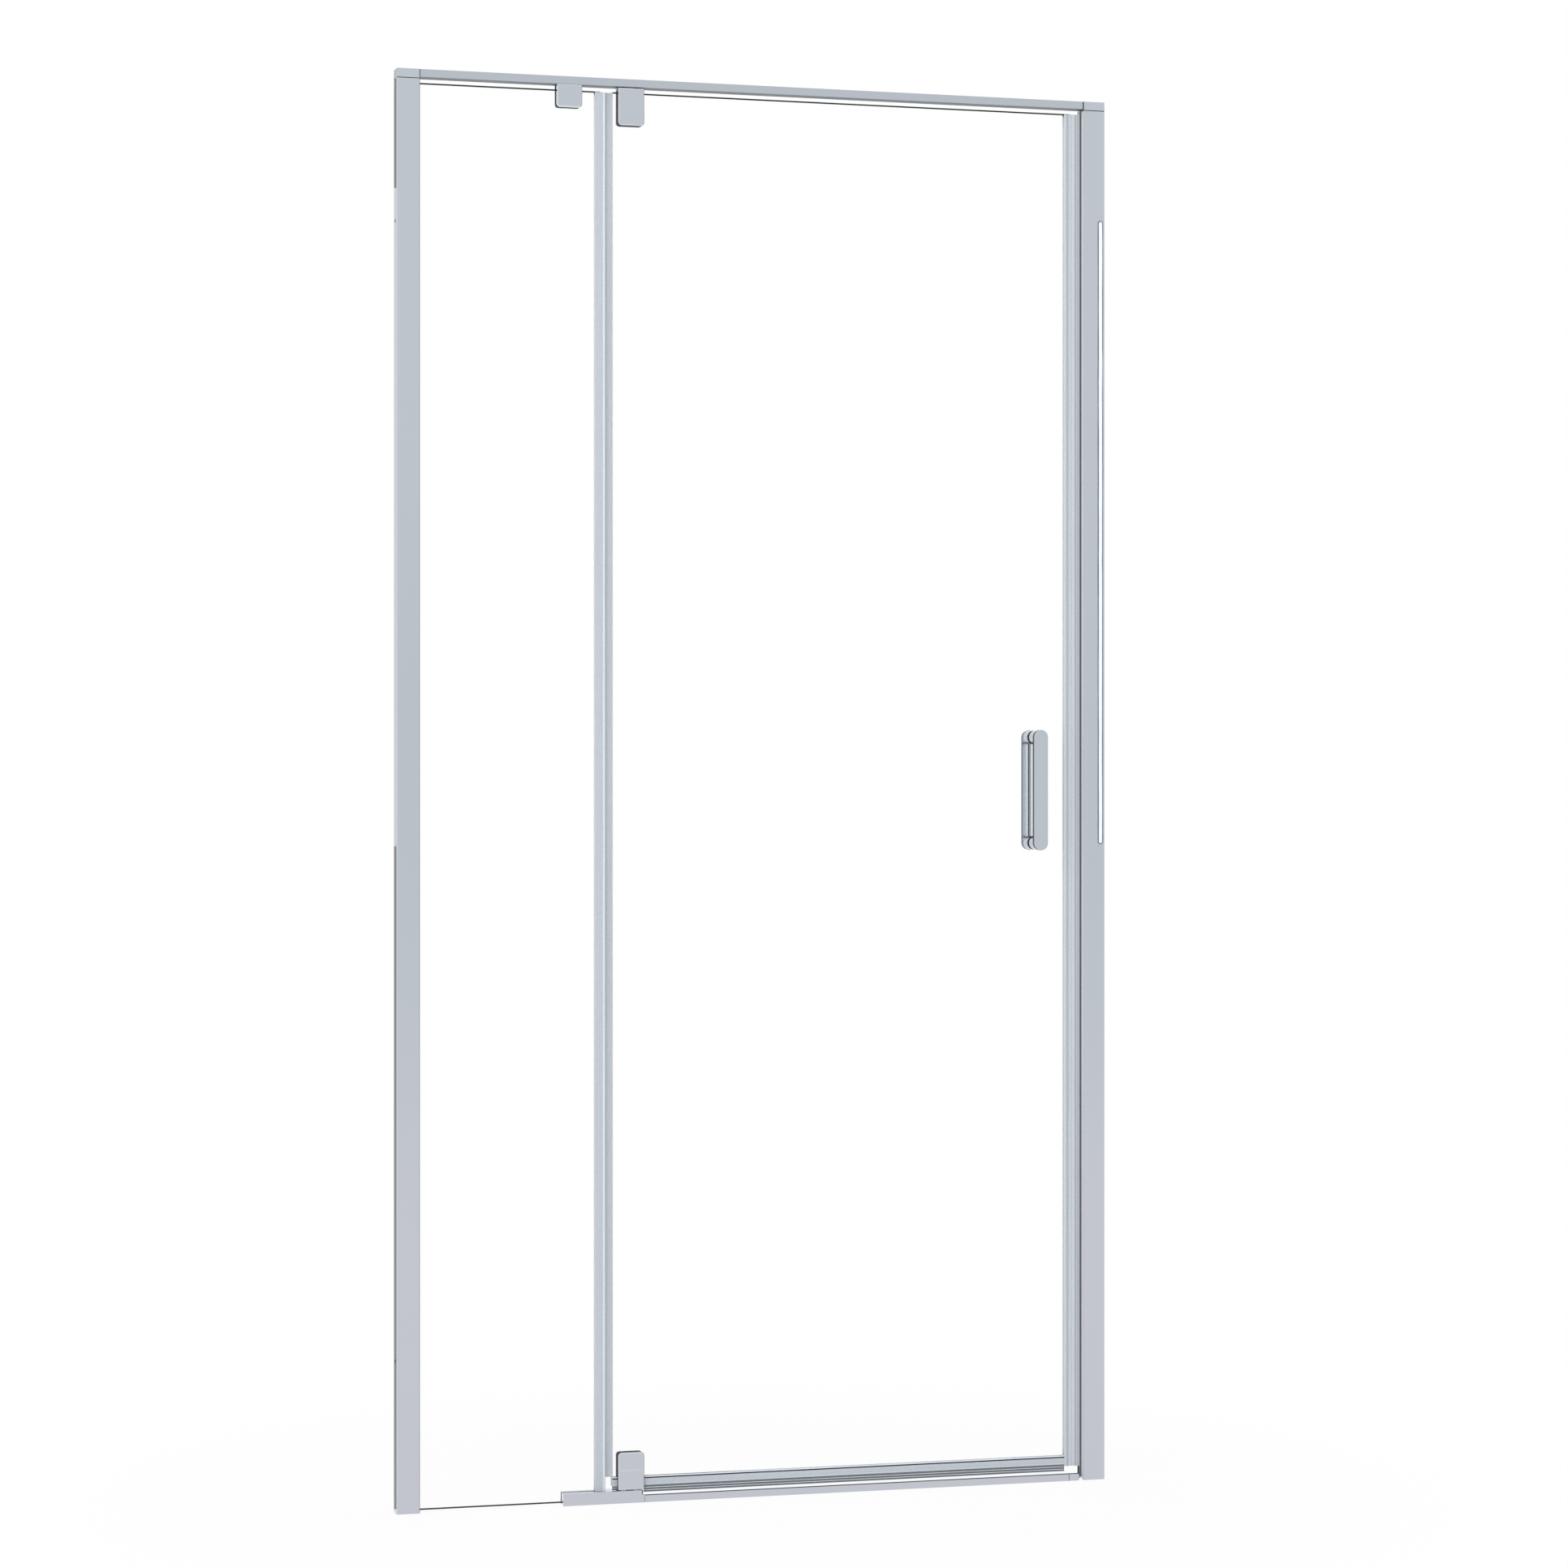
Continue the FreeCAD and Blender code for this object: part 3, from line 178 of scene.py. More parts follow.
class Nodes:
    """A node tree under way, whose nodes are added one by one."""

    def __init__(self, tree: bpy.types.NodeTree) -> None:
        """Empties the tree."""
        self.tree = tree
        self.tree.nodes.clear()

    def add(
        self,
        kind: str,
        settings: dict[str, object] | None = None,
        sockets: dict[str | int, object] | None = None,
    ) -> Node:
        """Adds a node, sets it up and fills its sockets.

        Args:
            kind: The node's type.
            settings: Its own settings, or the stops of a colour ramp under "stops".
            sockets: A value, a Value or a socket for each input, by name or by place.

        Returns:
            The new node.
        """
        node = self.tree.nodes.new(kind)
        for name, setting in (settings or {}).items():
            if name == "stops":
                ramp = node.color_ramp.elements
                while len(ramp) < len(setting):
                    ramp.new(1.0)
                for stop, (position, colour) in zip(ramp, setting):
                    stop.position, stop.color = position, (*colour, 1.0)
            else:
                setattr(node, name, setting)
        for key, given in (sockets or {}).items():
            if isinstance(given, Value):
                given = given.socket
            if isinstance(given, Socket):
                self.tree.links.new(given, node.inputs[key])
            else:
                node.inputs[key].default_value = given
        return node

    def shown(self) -> Value:
        """Returns 1 for the rays that show a white ground: the camera's, off metal and through glass."""
        ray = self.add("ShaderNodeLightPath")
        kinds = [Value(self, ray.outputs[f"Is {kind} Ray"]) for kind in ("Camera", "Glossy", "Transmission")]
        return (kinds[0] + kinds[1] + kinds[2]).above(0.5)


class Paint(Nodes):
    """A material under way, and the Principled shader that its nodes feed."""

    def __init__(self, name: str) -> None:
        """Makes an empty material with that name."""
        self.material = bpy.data.materials.new(name)
        self.material.use_nodes = True
        super().__init__(self.material.node_tree)

    def finish(self, shader: Node) -> Material:
        """Joins a shader to the material's surface and returns the material."""
        self.add("ShaderNodeOutputMaterial", sockets={"Surface": shader.outputs[0]})
        return self.material

    def glow(self, grey: Number) -> Node:
        """Adds a shader that gives off an even grey of its own and returns it."""
        return self.add("ShaderNodeEmission", sockets={"Color": (grey, grey, grey, 1.0), "Strength": 1.0})

    def place(self) -> Socket:
        """Returns the point's place in the part's own frame."""
        return self.add("ShaderNodeTexCoord").outputs["Object"]

    def height(self, top: Number) -> Value:
        """Returns how far up the part the point is, from 0 at the floor to 1 at the top."""
        split = self.add("ShaderNodeSeparateXYZ", sockets={0: self.place()})
        return Value(self, split.outputs["Z"]).ramp(0.0, top)

    def noise(self, scale: Number, stretch: Sequence[float] = (1.0, 1.0, 1.0), detail: Number = 3.0) -> Value:
        """Adds a soft noise.

        Args:
            scale: How many spots there are in a metre.
            stretch: The share of that number along each axis.
            detail: How many finer layers it has.

        Returns:
            The noise, about 0.5.
        """
        mapped = self.add("ShaderNodeMapping", sockets={"Vector": self.place(), "Scale": stretch})
        given = {"Vector": mapped.outputs[0], "Scale": scale, "Detail": detail}
        return Value(self, self.add("ShaderNodeTexNoise", sockets=given).outputs[0])

    def blend(self, first: Colour | Socket, second: Colour | Socket, share: Value | Number) -> Socket:
        """Mixes two colours.

        Args:
            first: The colour where the share is 0.
            second: The colour where the share is 1.
            share: How much of the second there is.

        Returns:
            The mixed colour's socket.
        """
        pair = [colour if isinstance(colour, Socket) else (*colour, 1.0) for colour in (first, second)]
        node = self.add("ShaderNodeMix", {"data_type": "RGBA"}, {0: share, 6: pair[0], 7: pair[1]})
        return node.outputs[2]

    def bump(self, relief: Value, depth: Number, strength: Number = 1.0) -> Socket:
        """Returns the normal of a relief of 0..1 that is some metres deep and shows with some strength."""
        node = self.add("ShaderNodeBump", sockets={"Height": relief, "Distance": depth, "Strength": strength})
        return node.outputs[0]

    def shade(self, **sockets: object) -> Material:
        """Adds the Principled shader and joins it to the output.

        Args:
            **sockets: Its inputs, with _ for each space in their names.

        Returns:
            The finished material.
        """
        named = {name.replace("_", " "): given for name, given in sockets.items()}
        for name, given in named.items():
            if isinstance(given, tuple) and len(given) == 3:
                named[name] = (*given, 1.0)
        return self.finish(self.add("ShaderNodeBsdfPrincipled", sockets=named))


# --- finishes ---


@dataclass(frozen=True)
class PolishedMetal:
    """Bright metal with fine drawn lines, whose grey warms from the floor to the middle: a painted
    reflection, by height, of the floor and surround.
    """

    name: str
    # Greys near the floor, in the middle and at the top: painted reflection by height
    low: Colour = (0.545, 0.563, 0.622)
    middle: Colour = (0.488, 0.532, 0.581)
    high: Colour = (0.515, 0.553, 0.604)
    roughness: float = 0.05
    run: Run = Run.NONE
    top: float = 1.9
    cloud_scale: float = 4.0
    cloudy: float = 0.12
    line_scale: float = 900.0
    line_depth: float = 0.000002
    lined: float = 0.08

    def make(self) -> Material:
        """Returns the material."""
        paint = Paint(self.name)
        rise = paint.height(self.top)
        # painted reflection: the grey is blended by height
        lower = paint.blend(self.low, self.middle, rise.ramp(0.05, 0.45))
        reflection_by_height = paint.blend(lower, self.high, rise.ramp(0.55, 0.98))
        cloud = paint.noise(self.cloud_scale, detail=2.0)
        lines = paint.noise(self.line_scale, self.run.value, detail=4.0)
        darker = tuple(0.9 * part for part in self.middle)
        share = cloud.ramp(0.45, 0.8) * self.cloudy + lines.ramp(0.55, 0.8) * self.lined
        return paint.shade(
            Base_Color=paint.blend(reflection_by_height, darker, share),
            Metallic=1.0,
            Roughness=self.roughness * (0.7 + cloud * 0.3 + lines * 0.3),
            Normal=paint.bump(lines, self.line_depth, 0.1),
        )


@dataclass(frozen=True)
class PolishedEdge:
    """A narrow rounded edge, rim or groove of polished metal, whose tint is a painted highlight or painted
    shade, with the fine wear that such edges get.
    """

    name: str
    tint: Colour
    worn: Colour
    roughness: float = 0.12
    metallic: float = 1.0
    wear_scale: float = 260.0
    wear_depth: float = 0.00001

    def make(self) -> Material:
        """Returns the material."""
        paint = Paint(self.name)
        wear = paint.noise(self.wear_scale, detail=4.0)
        return paint.shade(
            # the tint is the painted tone of highlight or shade; the wear is real
            Base_Color=paint.blend(self.tint, self.worn, wear.ramp(0.5, 0.85) * 0.6),
            Metallic=self.metallic,
            Roughness=self.roughness + wear * 0.08,
            Normal=paint.bump(wear, self.wear_depth, 0.2),
        )


@dataclass(frozen=True)
class PaneFace:
    """The clear faces of toughened glass: hardly there head on, a little more at a slant."""

    name: str = "pane_face"
    tint: Colour = (0.93, 0.975, 0.96)
    least: float = 0.008
    most: float = 0.22
    ripple_scale: float = 3.0
    ripple_depth: float = 0.0001
    bloom_scale: float = 14.0

    def make(self) -> Material:
        """Returns the material."""
        paint = Paint(self.name)
        slant = Value(paint, paint.add("ShaderNodeLayerWeight", sockets={"Blend": 0.25}).outputs["Facing"])
        ripple = paint.noise(self.ripple_scale, detail=1.0)
        bloom = paint.noise(self.bloom_scale, detail=5.0)
        return paint.shade(
            Base_Color=paint.blend(self.tint, WHITE, bloom.ramp(0.4, 0.7) * 0.5),
            Roughness=0.02 + bloom.ramp(0.5, 0.8) * 0.02,
            Alpha=self.least + slant**3 * (self.most - self.least) + bloom.ramp(0.5, 0.9) * 0.004,
            Normal=paint.bump(ripple, self.ripple_depth, 0.1),
        )


@dataclass(frozen=True)
class PaneEdge:
    """The ground and polished edge of the glass, dark and a little green."""

    name: str = "pane_edge"
    tint: Colour = (0.022, 0.034, 0.034)
    pale: Colour = (0.06, 0.085, 0.08)
    grind_scale: float = 1400.0
    grind_depth: float = 0.00003

    def make(self) -> Material:
        """Returns the material."""
        paint = Paint(self.name)
        grind = paint.noise(self.grind_scale, (0.1, 1.0, 0.1), detail=4.0)
        return paint.shade(
            Base_Color=paint.blend(self.tint, self.pale, grind.ramp(0.4, 0.75)),
            Roughness=0.3 + grind * 0.2,
            Specular_IOR_Level=0.2,
            Normal=paint.bump(grind, self.grind_depth, 0.4),
        )


@dataclass(frozen=True)
class FrostedSeal:
    """Soft clear plastic with a frosted skin: fine specks, lines along its run, and painted tones of light
    and shade across it.

    The tones are painted light and shade: they stand in for how the seal's thicker and thinner sides, its
    edges and the gaps beside it look darker or lighter. Each tone is the place where it is reached, in
    millimetres along X, or along Z for a level seal, and its grey of 0 to 1.
    """

    name: str
    painted_tones: tuple[tuple[float, float], ...]
    run: Run = Run.UPRIGHT
    roughness: float = 0.3
    alpha: float = 0.985
    speck_scale: float = 520.0
    speckled: float = 0.16
    line_scale: float = 700.0
    lined: float = 0.1
    skin_depth: float = 0.00002

    @staticmethod
    def tone(grey: float) -> Colour:
        """Returns the cool colour of a grey."""
        light = grey**2.2
        return (light * 0.95, light * 1.02, light * 1.11)

    def make(self) -> Material:
        """Returns the material."""
        paint = Paint(self.name)
        start, end = self.painted_tones[0][0], self.painted_tones[-1][0]
        stops = [((place - start) / (end - start), self.tone(grey)) for place, grey in self.painted_tones]
        split = paint.add("ShaderNodeSeparateXYZ", sockets={0: paint.place()})
        side = "Z" if self.run is Run.LEVEL else "X"
        across = (Value(paint, split.outputs[side]) / MM - start) / (end - start)
        # painted light and shade: the tones across the seal
        painted_tones = paint.add("ShaderNodeValToRGB", {"stops": stops}, {0: across}).outputs["Color"]
        specks = paint.noise(self.speck_scale, detail=5.0)
        lines = paint.noise(self.line_scale, self.run.value, detail=2.0)
        depth = specks.ramp(0.46, 0.76) * self.speckled + lines.ramp(0.45, 0.75) * self.lined
        return paint.shade(
            Base_Color=paint.blend(painted_tones, self.tone(0.55), depth),
            Roughness=self.roughness + (specks - 0.5) * 0.2,
            Alpha=self.alpha - specks.ramp(0.35, 0.7) * 0.03,
            Normal=paint.bump(specks * 0.6 + lines * 0.4, self.skin_depth, 0.25),
        )


@dataclass(frozen=True)
class SoftGasket:
    """Matt clear-grey gasket, with the dull grain of moulded rubber."""

    name: str = "gasket"
    tint: Colour = (0.42, 0.44, 0.46)
    shade: Colour = (0.30, 0.32, 0.34)
    grain_scale: float = 1600.0
    roughness: float = 0.62
    grain_depth: float = 0.00004

    def make(self) -> Material:
        """Returns the material."""
        paint = Paint(self.name)
        grain = paint.noise(self.grain_scale, detail=4.0)
        return paint.shade(
            Base_Color=paint.blend(self.tint, self.shade, grain.ramp(0.35, 0.7)),
            Roughness=self.roughness + (grain - 0.5) * 0.25,
            Normal=paint.bump(grain, self.grain_depth, 0.4),
        )


Finish = PolishedMetal | PolishedEdge | PaneFace | PaneEdge | FrostedSeal | SoftGasket


# --- mesh kit ---


def rounded_rectangle(
    x0: float, x1: float, z0: float, z1: float, radius: float, steps: int = 8
) -> list[Point2]:
    """Draws a rectangle with round corners.

    Args:
        x0: Left side.
        x1: Right side.
        z0: Lower side.
        z1: Upper side.
        radius: Radius of its corners.
        steps: How many facets a corner has.

    Returns:
        Its points, anticlockwise.
    """
    points = []
    corners = ((x1, z0, 1, -1, 270), (x1, z1, 1, 1, 0), (x0, z1, -1, 1, 90), (x0, z0, -1, -1, 180))
    for x, z, way_x, way_z, start in corners:
        centre = (x - way_x * radius, z - way_z * radius)
        for step in range(steps + 1):
            turn = math.radians(start + 90 * step / steps)
            points.append((centre[0] + radius * math.cos(turn), centre[1] + radius * math.sin(turn)))
    return points


def circle(x: float, z: float, radius: float, steps: int = 48) -> list[Point2]:
    """Returns the points of a circle, anticlockwise."""
    turns = (math.tau * step / steps for step in range(steps))
    return [(x + radius * math.cos(turn), z + radius * math.sin(turn)) for turn in turns]


def new_object(name: str, data: bpy.types.ID) -> bpy.types.Object:
    """Puts a new object into the scene.

    Args:
        name: Its name.
        data: Its mesh, lamp or camera.

    Returns:
        The object.
    """
    item = bpy.data.objects.new(name, data)
    bpy.context.scene.collection.objects.link(item)
    return item


class Shape:
    """A mesh under way in the part's own frame, in metres."""

    def __init__(self, stands_for: str | None = None) -> None:
        """Starts with nothing in it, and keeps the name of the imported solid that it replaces."""
        self.stands_for = stands_for
        self.mesh = bmesh.new()

    @classmethod
    def from_node(cls, node: str) -> "Shape":
        """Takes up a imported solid, with its split corners joined and its flat faces made whole.

        Args:
            node: The solid's name.

        Returns:
            The shape.
        """
        shape = cls(node)
        shape.mesh.from_mesh(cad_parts[node].data)
        bmesh.ops.remove_doubles(shape.mesh, verts=shape.mesh.verts, dist=2 * HAIR)
        bmesh.ops.dissolve_limit(
            shape.mesh, angle_limit=math.radians(0.4), verts=shape.mesh.verts, edges=shape.mesh.edges
        )
        return shape

    def add_rings(self, rings: Sequence[Sequence[Vector]]) -> "Shape":
        """Adds a closed skin over rings that have the same number of points.

        Args:
            rings: The rings in order, from one end to the other.

        Returns:
            The shape itself.
        """
        made = [[self.mesh.verts.new(point) for point in ring] for ring in rings]
        for lower, upper in zip(made, made[1:]):
            for i, corner in enumerate(lower):
                j = (i + 1) % len(lower)
                self.mesh.faces.new((corner, lower[j], upper[j], upper[i]))
        self.mesh.faces.new(made[0])
        self.mesh.faces.new(made[-1])
        return self

    def add_prism(self, outline: Sequence[Point2], front: float, rear: float) -> "Shape":
        """Adds a straight solid on an outline along X and Z, from front to rear along Y."""
        return self.add_rings([[Vector((x, y, z)) for x, z in outline] for y in (front, rear)])

    def split_at(self, *places: float) -> "Shape":
        """Divides the faces at upright planes, so that strips of them can take finishes of their own.

        Args:
            *places: Where the planes cross the X axis.

        Returns:
            The shape itself.
        """
        for x in places:
            parts = [*self.mesh.verts, *self.mesh.edges, *self.mesh.faces]
            bmesh.ops.bisect_plane(self.mesh, geom=parts, plane_co=(x, 0, 0), plane_no=(1, 0, 0))
        return self

    def round_edges(
        self,
        radius: float,
        segments: int = 2,
        only: Callable[[Edge], bool] | None = None,
        clamp: bool = True,
    ) -> "Shape":
        """Rounds the sharp edges.

        Args:
            radius: How far the rounding reaches.
            segments: How many facets it has.
            only: A test that an edge has to pass as well.
            clamp: True to keep every rounding within the shortest edge that it meets.

        Returns:
            The shape itself.
        """
        bmesh.ops.recalc_face_normals(self.mesh, faces=self.mesh.faces)
        limit = math.radians(SHARP)
        sharp = [
            edge for edge in self.mesh.edges
            if len(edge.link_faces) == 2 and edge.calc_face_angle() > limit and (only is None or only(edge))
        ]
        bmesh.ops.bevel(
            self.mesh, geom=sharp, offset=radius, offset_type="OFFSET", segments=segments, profile=0.5,
            affect="EDGES", clamp_overlap=clamp,
        )
        return self

    def piece(
        self, name: str, body: Body, slot: Slot, finish: Material, choose: Chooser | None = None
    ) -> None:
        """Turns the shape into a shown piece.

        Args:
            name: The piece's name.
            body: The body it rides on.
            slot: The record's material slot; not used.
            finish: Its main finish.
            choose: Gives a face's own finish, or None where it takes the main one.
        """
        bmesh.ops.recalc_face_normals(self.mesh, faces=self.mesh.faces)
        self.mesh.normal_update()
        finishes = [finish]
        for face in self.mesh.faces:
            own = (choose(face) if choose else None) or finish
            if own not in finishes:
                finishes.append(own)
            face.material_index = finishes.index(own)
        data = bpy.data.meshes.new(name)
        self.mesh.to_mesh(data)
        self.mesh.free()
        data.polygons.foreach_set("use_smooth", [True] * len(data.polygons))
        data.set_sharp_from_angle(angle=math.radians(SMOOTH))
        for material in finishes:
            data.materials.append(material)
        item = new_object(name, data)
        even = item.modifiers.new("even_shading", "WEIGHTED_NORMAL")
        even.keep_sharp = True
        even.weight = 80
        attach(item, body.value)
        if self.stands_for:
            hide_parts(self.stands_for)
        log.info("%s: %d faces, on %s", name, len(data.polygons), body.value)


def is_long(edge: Edge) -> bool:
    """Tells whether an edge is over 3 mm long."""
    return edge.calc_length() > 3 * MM


def is_rounding(face: Face) -> bool:
    """Tells whether a face is part of a rounded edge, and so lies along none of the three planes."""
    return max(abs(part) for part in face.normal) < FLAT


def dress(node: str, finish: Material) -> None:
    """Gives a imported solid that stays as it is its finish.

    Args:
        node: The solid's name.
        finish: The material for all of it.
    """
    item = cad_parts[node]
    item.data.materials.clear()
    item.data.materials.append(finish)
    log.info("%s: kept, finish %s", node, finish.name)


def made(finish: Finish) -> Material:
    """Declares a material of Finishes, which is made together with the others."""
    return field(default_factory=finish.make)


@dataclass
class Finishes:
    """The finishes of the door, made once and shared by its pieces."""

    upright: Material = made(PolishedMetal("polished_upright", run=Run.UPRIGHT, roughness=0.004))
    level: Material = made(PolishedMetal("polished_level", run=Run.LEVEL))
    fitting: Material = made(PolishedMetal("polished_fitting", roughness=0.07))
    # The header's top grey is darker than the other profiles': painted shade on a copy of the same polished
    # metal
    header: Material = made(PolishedMetal("polished_header", high=(0.475, 0.508, 0.555), run=Run.LEVEL))
    screw: Material = made(PolishedMetal("bright_steel", middle=(0.42, 0.43, 0.45), roughness=0.2))
    # Painted highlight on rounded edges and on a strip of the rear grip's inner face
    bright: Material = made(PolishedEdge("painted_highlight_edge", (0.66, 0.70, 0.755), (0.55, 0.59, 0.64)))
    # Painted highlight, near white, on the tops of the sill rail and end block and on the pivot block's left
    # end
    painted_gleam: Material = made(PolishedEdge("painted_glint_end", (0.90, 0.92, 0.94), (0.84, 0.86, 0.88), 0.06))
    # Painted shade, a dim grey: on the header's seams, rounded edges that face right, the posts' rounded
    # edges and a strip of the rear grip
    dull: Material = made(PolishedEdge("painted_dim_edge", (0.27, 0.30, 0.335), (0.36, 0.39, 0.43)))
    # Painted shade on the header's underside
    underside: Material = made(
        PolishedEdge("painted_dark_underside", (0.27, 0.295, 0.33), (0.34, 0.365, 0.40), 0.5, 0.0)
    )
    # Painted reflection, light grey, on a strip of the rear grip's inner face
    soft: Material = made(PolishedEdge("painted_reflection_grey", (0.74, 0.78, 0.84), (0.78, 0.82, 0.88)))
    # Painted shade, near dark: the caps' seams, the left jamb's edge by the glass, the right jamb's side
    # facets, the sills' sloping front edges and the rear grip's sides
    painted_shade: Material = made(PolishedEdge("painted_dark_edge", (0.09, 0.10, 0.115), (0.15, 0.165, 0.185)))
    # Painted shade, darker still: the hinge plates' sides, the front grip's sides and the pivot block's top
    # edge
    rim: Material = made(PolishedEdge("painted_dark_rim", (0.03, 0.033, 0.04), (0.07, 0.075, 0.085), 0.3))
    # Painted dark line: at the pivot block's front edge by its left end and on a strip of the rear grip's
    # inner face
    painted_line: Material = made(PolishedEdge("painted_dark_line", (0.008, 0.009, 0.010), (0.02, 0.022, 0.024), 0.5, 0.0))
    # Painted shade in the grooves between the sweep's ribs
    groove: Material = made(PolishedEdge("painted_groove_shade", (0.17, 0.19, 0.21), (0.24, 0.26, 0.28), 0.5, 0.0))
    pane: Material = made(PaneFace())
    edge: Material = made(PaneEdge())
    # Painted light on the panes' upright edges, a reflection of the light seals they lie in
    painted_pale_edge: Material = made(PaneEdge("pane_edge_painted_light", (0.62, 0.67, 0.70), (0.72, 0.76, 0.78)))
    # Painted light, near white: the right jamb's side by the strike seal, the seals' left sides and inner
    # faces, and the top of the sweep's rear wall
    painted_light: Material = made(PolishedEdge("painted_light_side", (0.95, 0.96, 0.97), (0.90, 0.92, 0.93), 0.3, 0.0))
    # The seals' tones are painted light and shade: light bands for highlights, dark bands for the shade of
    # gaps; the sweep's near-dark band from 31.1 to 32.6 mm is a painted dark line along its top
    edge_seal: Material = made(FrostedSeal("frosted_edge_seal", (
        (-225.6, 0.8), (-215.0, 0.8), (-214.3, 0.92), (-212.7, 0.92), (-211.3, 0.77), (-205.6, 0.78),
        (-202.6, 0.81),
    )))
    closing_seal: Material = made(FrostedSeal("frosted_closing_seal", (
        (437.4, 0.84), (440.0, 0.84), (441.4, 0.71), (443.2, 0.74), (444.2, 0.83), (447.0, 0.83),
        (448.4, 0.79), (450.4, 0.81), (451.2, 0.93), (452.2, 0.68), (454.0, 0.72), (455.2, 0.79),
        (456.6, 0.71), (458.0, 0.72), (458.8, 0.80), (459.7, 0.72),
    )))
    strike_seal: Material = made(FrostedSeal("frosted_strike_seal", (
        (460.0, 0.4), (460.5, 0.22), (461.2, 0.22), (462.0, 0.7), (466.2, 0.9),
    )))
    sweep: Material = made(FrostedSeal("frosted_sweep", (
        (12.0, 0.92), (21.9, 0.92), (22.4, 0.80), (23.4, 0.86), (24.6, 0.80), (30.8, 0.82),
        (31.1, 0.02), (32.6, 0.02), (32.9, 0.97), (34.1, 0.98),
    ), run=Run.LEVEL))
    gasket: Material = made(SoftGasket())
    # Near-dark gaskets and washers between plates: painted shade in the gaps between the parts
    shade_painted_gasket: Material = made(SoftGasket("shade_painted_gasket", (0.035, 0.038, 0.042), (0.06, 0.063, 0.068)))
    nylon: Material = made(SoftGasket("nylon", (0.74, 0.74, 0.72), (0.66, 0.66, 0.64), 900.0, 0.45))
    magnet: Material = made(SoftGasket("magnet_strip", (0.66, 0.68, 0.70), (0.56, 0.58, 0.60), 1200.0, 0.5))


# --- sub-assemblies ---


@dataclass
class SubAssembly:
    """Pieces that are built together, and the finishes that they take."""

    finishes: Finishes


@dataclass
class SocketScrew:
    """A cap screw with a hexagon socket, drawn as rings along its axis."""

    head_radius: float = 3.5 * MM
    head_height: float = 2.4 * MM
    head_edge: float = 0.35 * MM
    shank_radius: float = 2.0 * MM
    shank_length: float = 15.2 * MM
    shank_point: float = 0.4 * MM
    socket_across: float = 2.5 * MM
    socket_depth: float = 1.4 * MM
    socket_mouth: float = 0.15 * MM
    steps: int = 24

    def ring(self, seat: Vector, radius: float, rise: float, hexagon: bool = False) -> list[Vector]:
        """Draws one ring about the screw's axis, which points along +Y.

        Args:
            seat: The middle of the seat under the head.
            radius: The ring's radius, or half the width across the flats.
            rise: How far the ring is from the seat.
            hexagon: True for a hexagon.

        Returns:
            The ring's points.
        """
        points = []
        for step in range(self.steps):
            turn = 360 * step / self.steps
            reach = radius / math.cos(math.radians(turn % 60 - 30)) if hexagon else radius
            angle = math.radians(turn)
            points.append(seat + Vector((reach * math.cos(angle), rise, reach * math.sin(angle))))
        return points

    def add_to(self, shape: Shape, seat: Vector) -> None:
        """Adds the screw to a shape.

        Args:
            shape: The shape that takes it.
            seat: The middle of the seat under the head.
        """
        flats, top = self.socket_across / 2, self.head_height
        round_rings = (
            (self.shank_radius * 0.8, -self.shank_length),
            (self.shank_radius, self.shank_point - self.shank_length),
            (self.shank_radius, 0.0),
            (self.head_radius, 0.0),
            (self.head_radius, top - self.head_edge),
            (self.head_radius - self.head_edge, top),
        )
        socket_rings = (
            (flats * 1.12, top),
            (flats, top - self.socket_mouth),
            (flats, top - self.socket_depth),
        )
        rings = [self.ring(seat, radius, rise) for radius, rise in round_rings]
        rings += [self.ring(seat, radius, rise, hexagon=True) for radius, rise in socket_rings]
        shape.add_rings(rings)


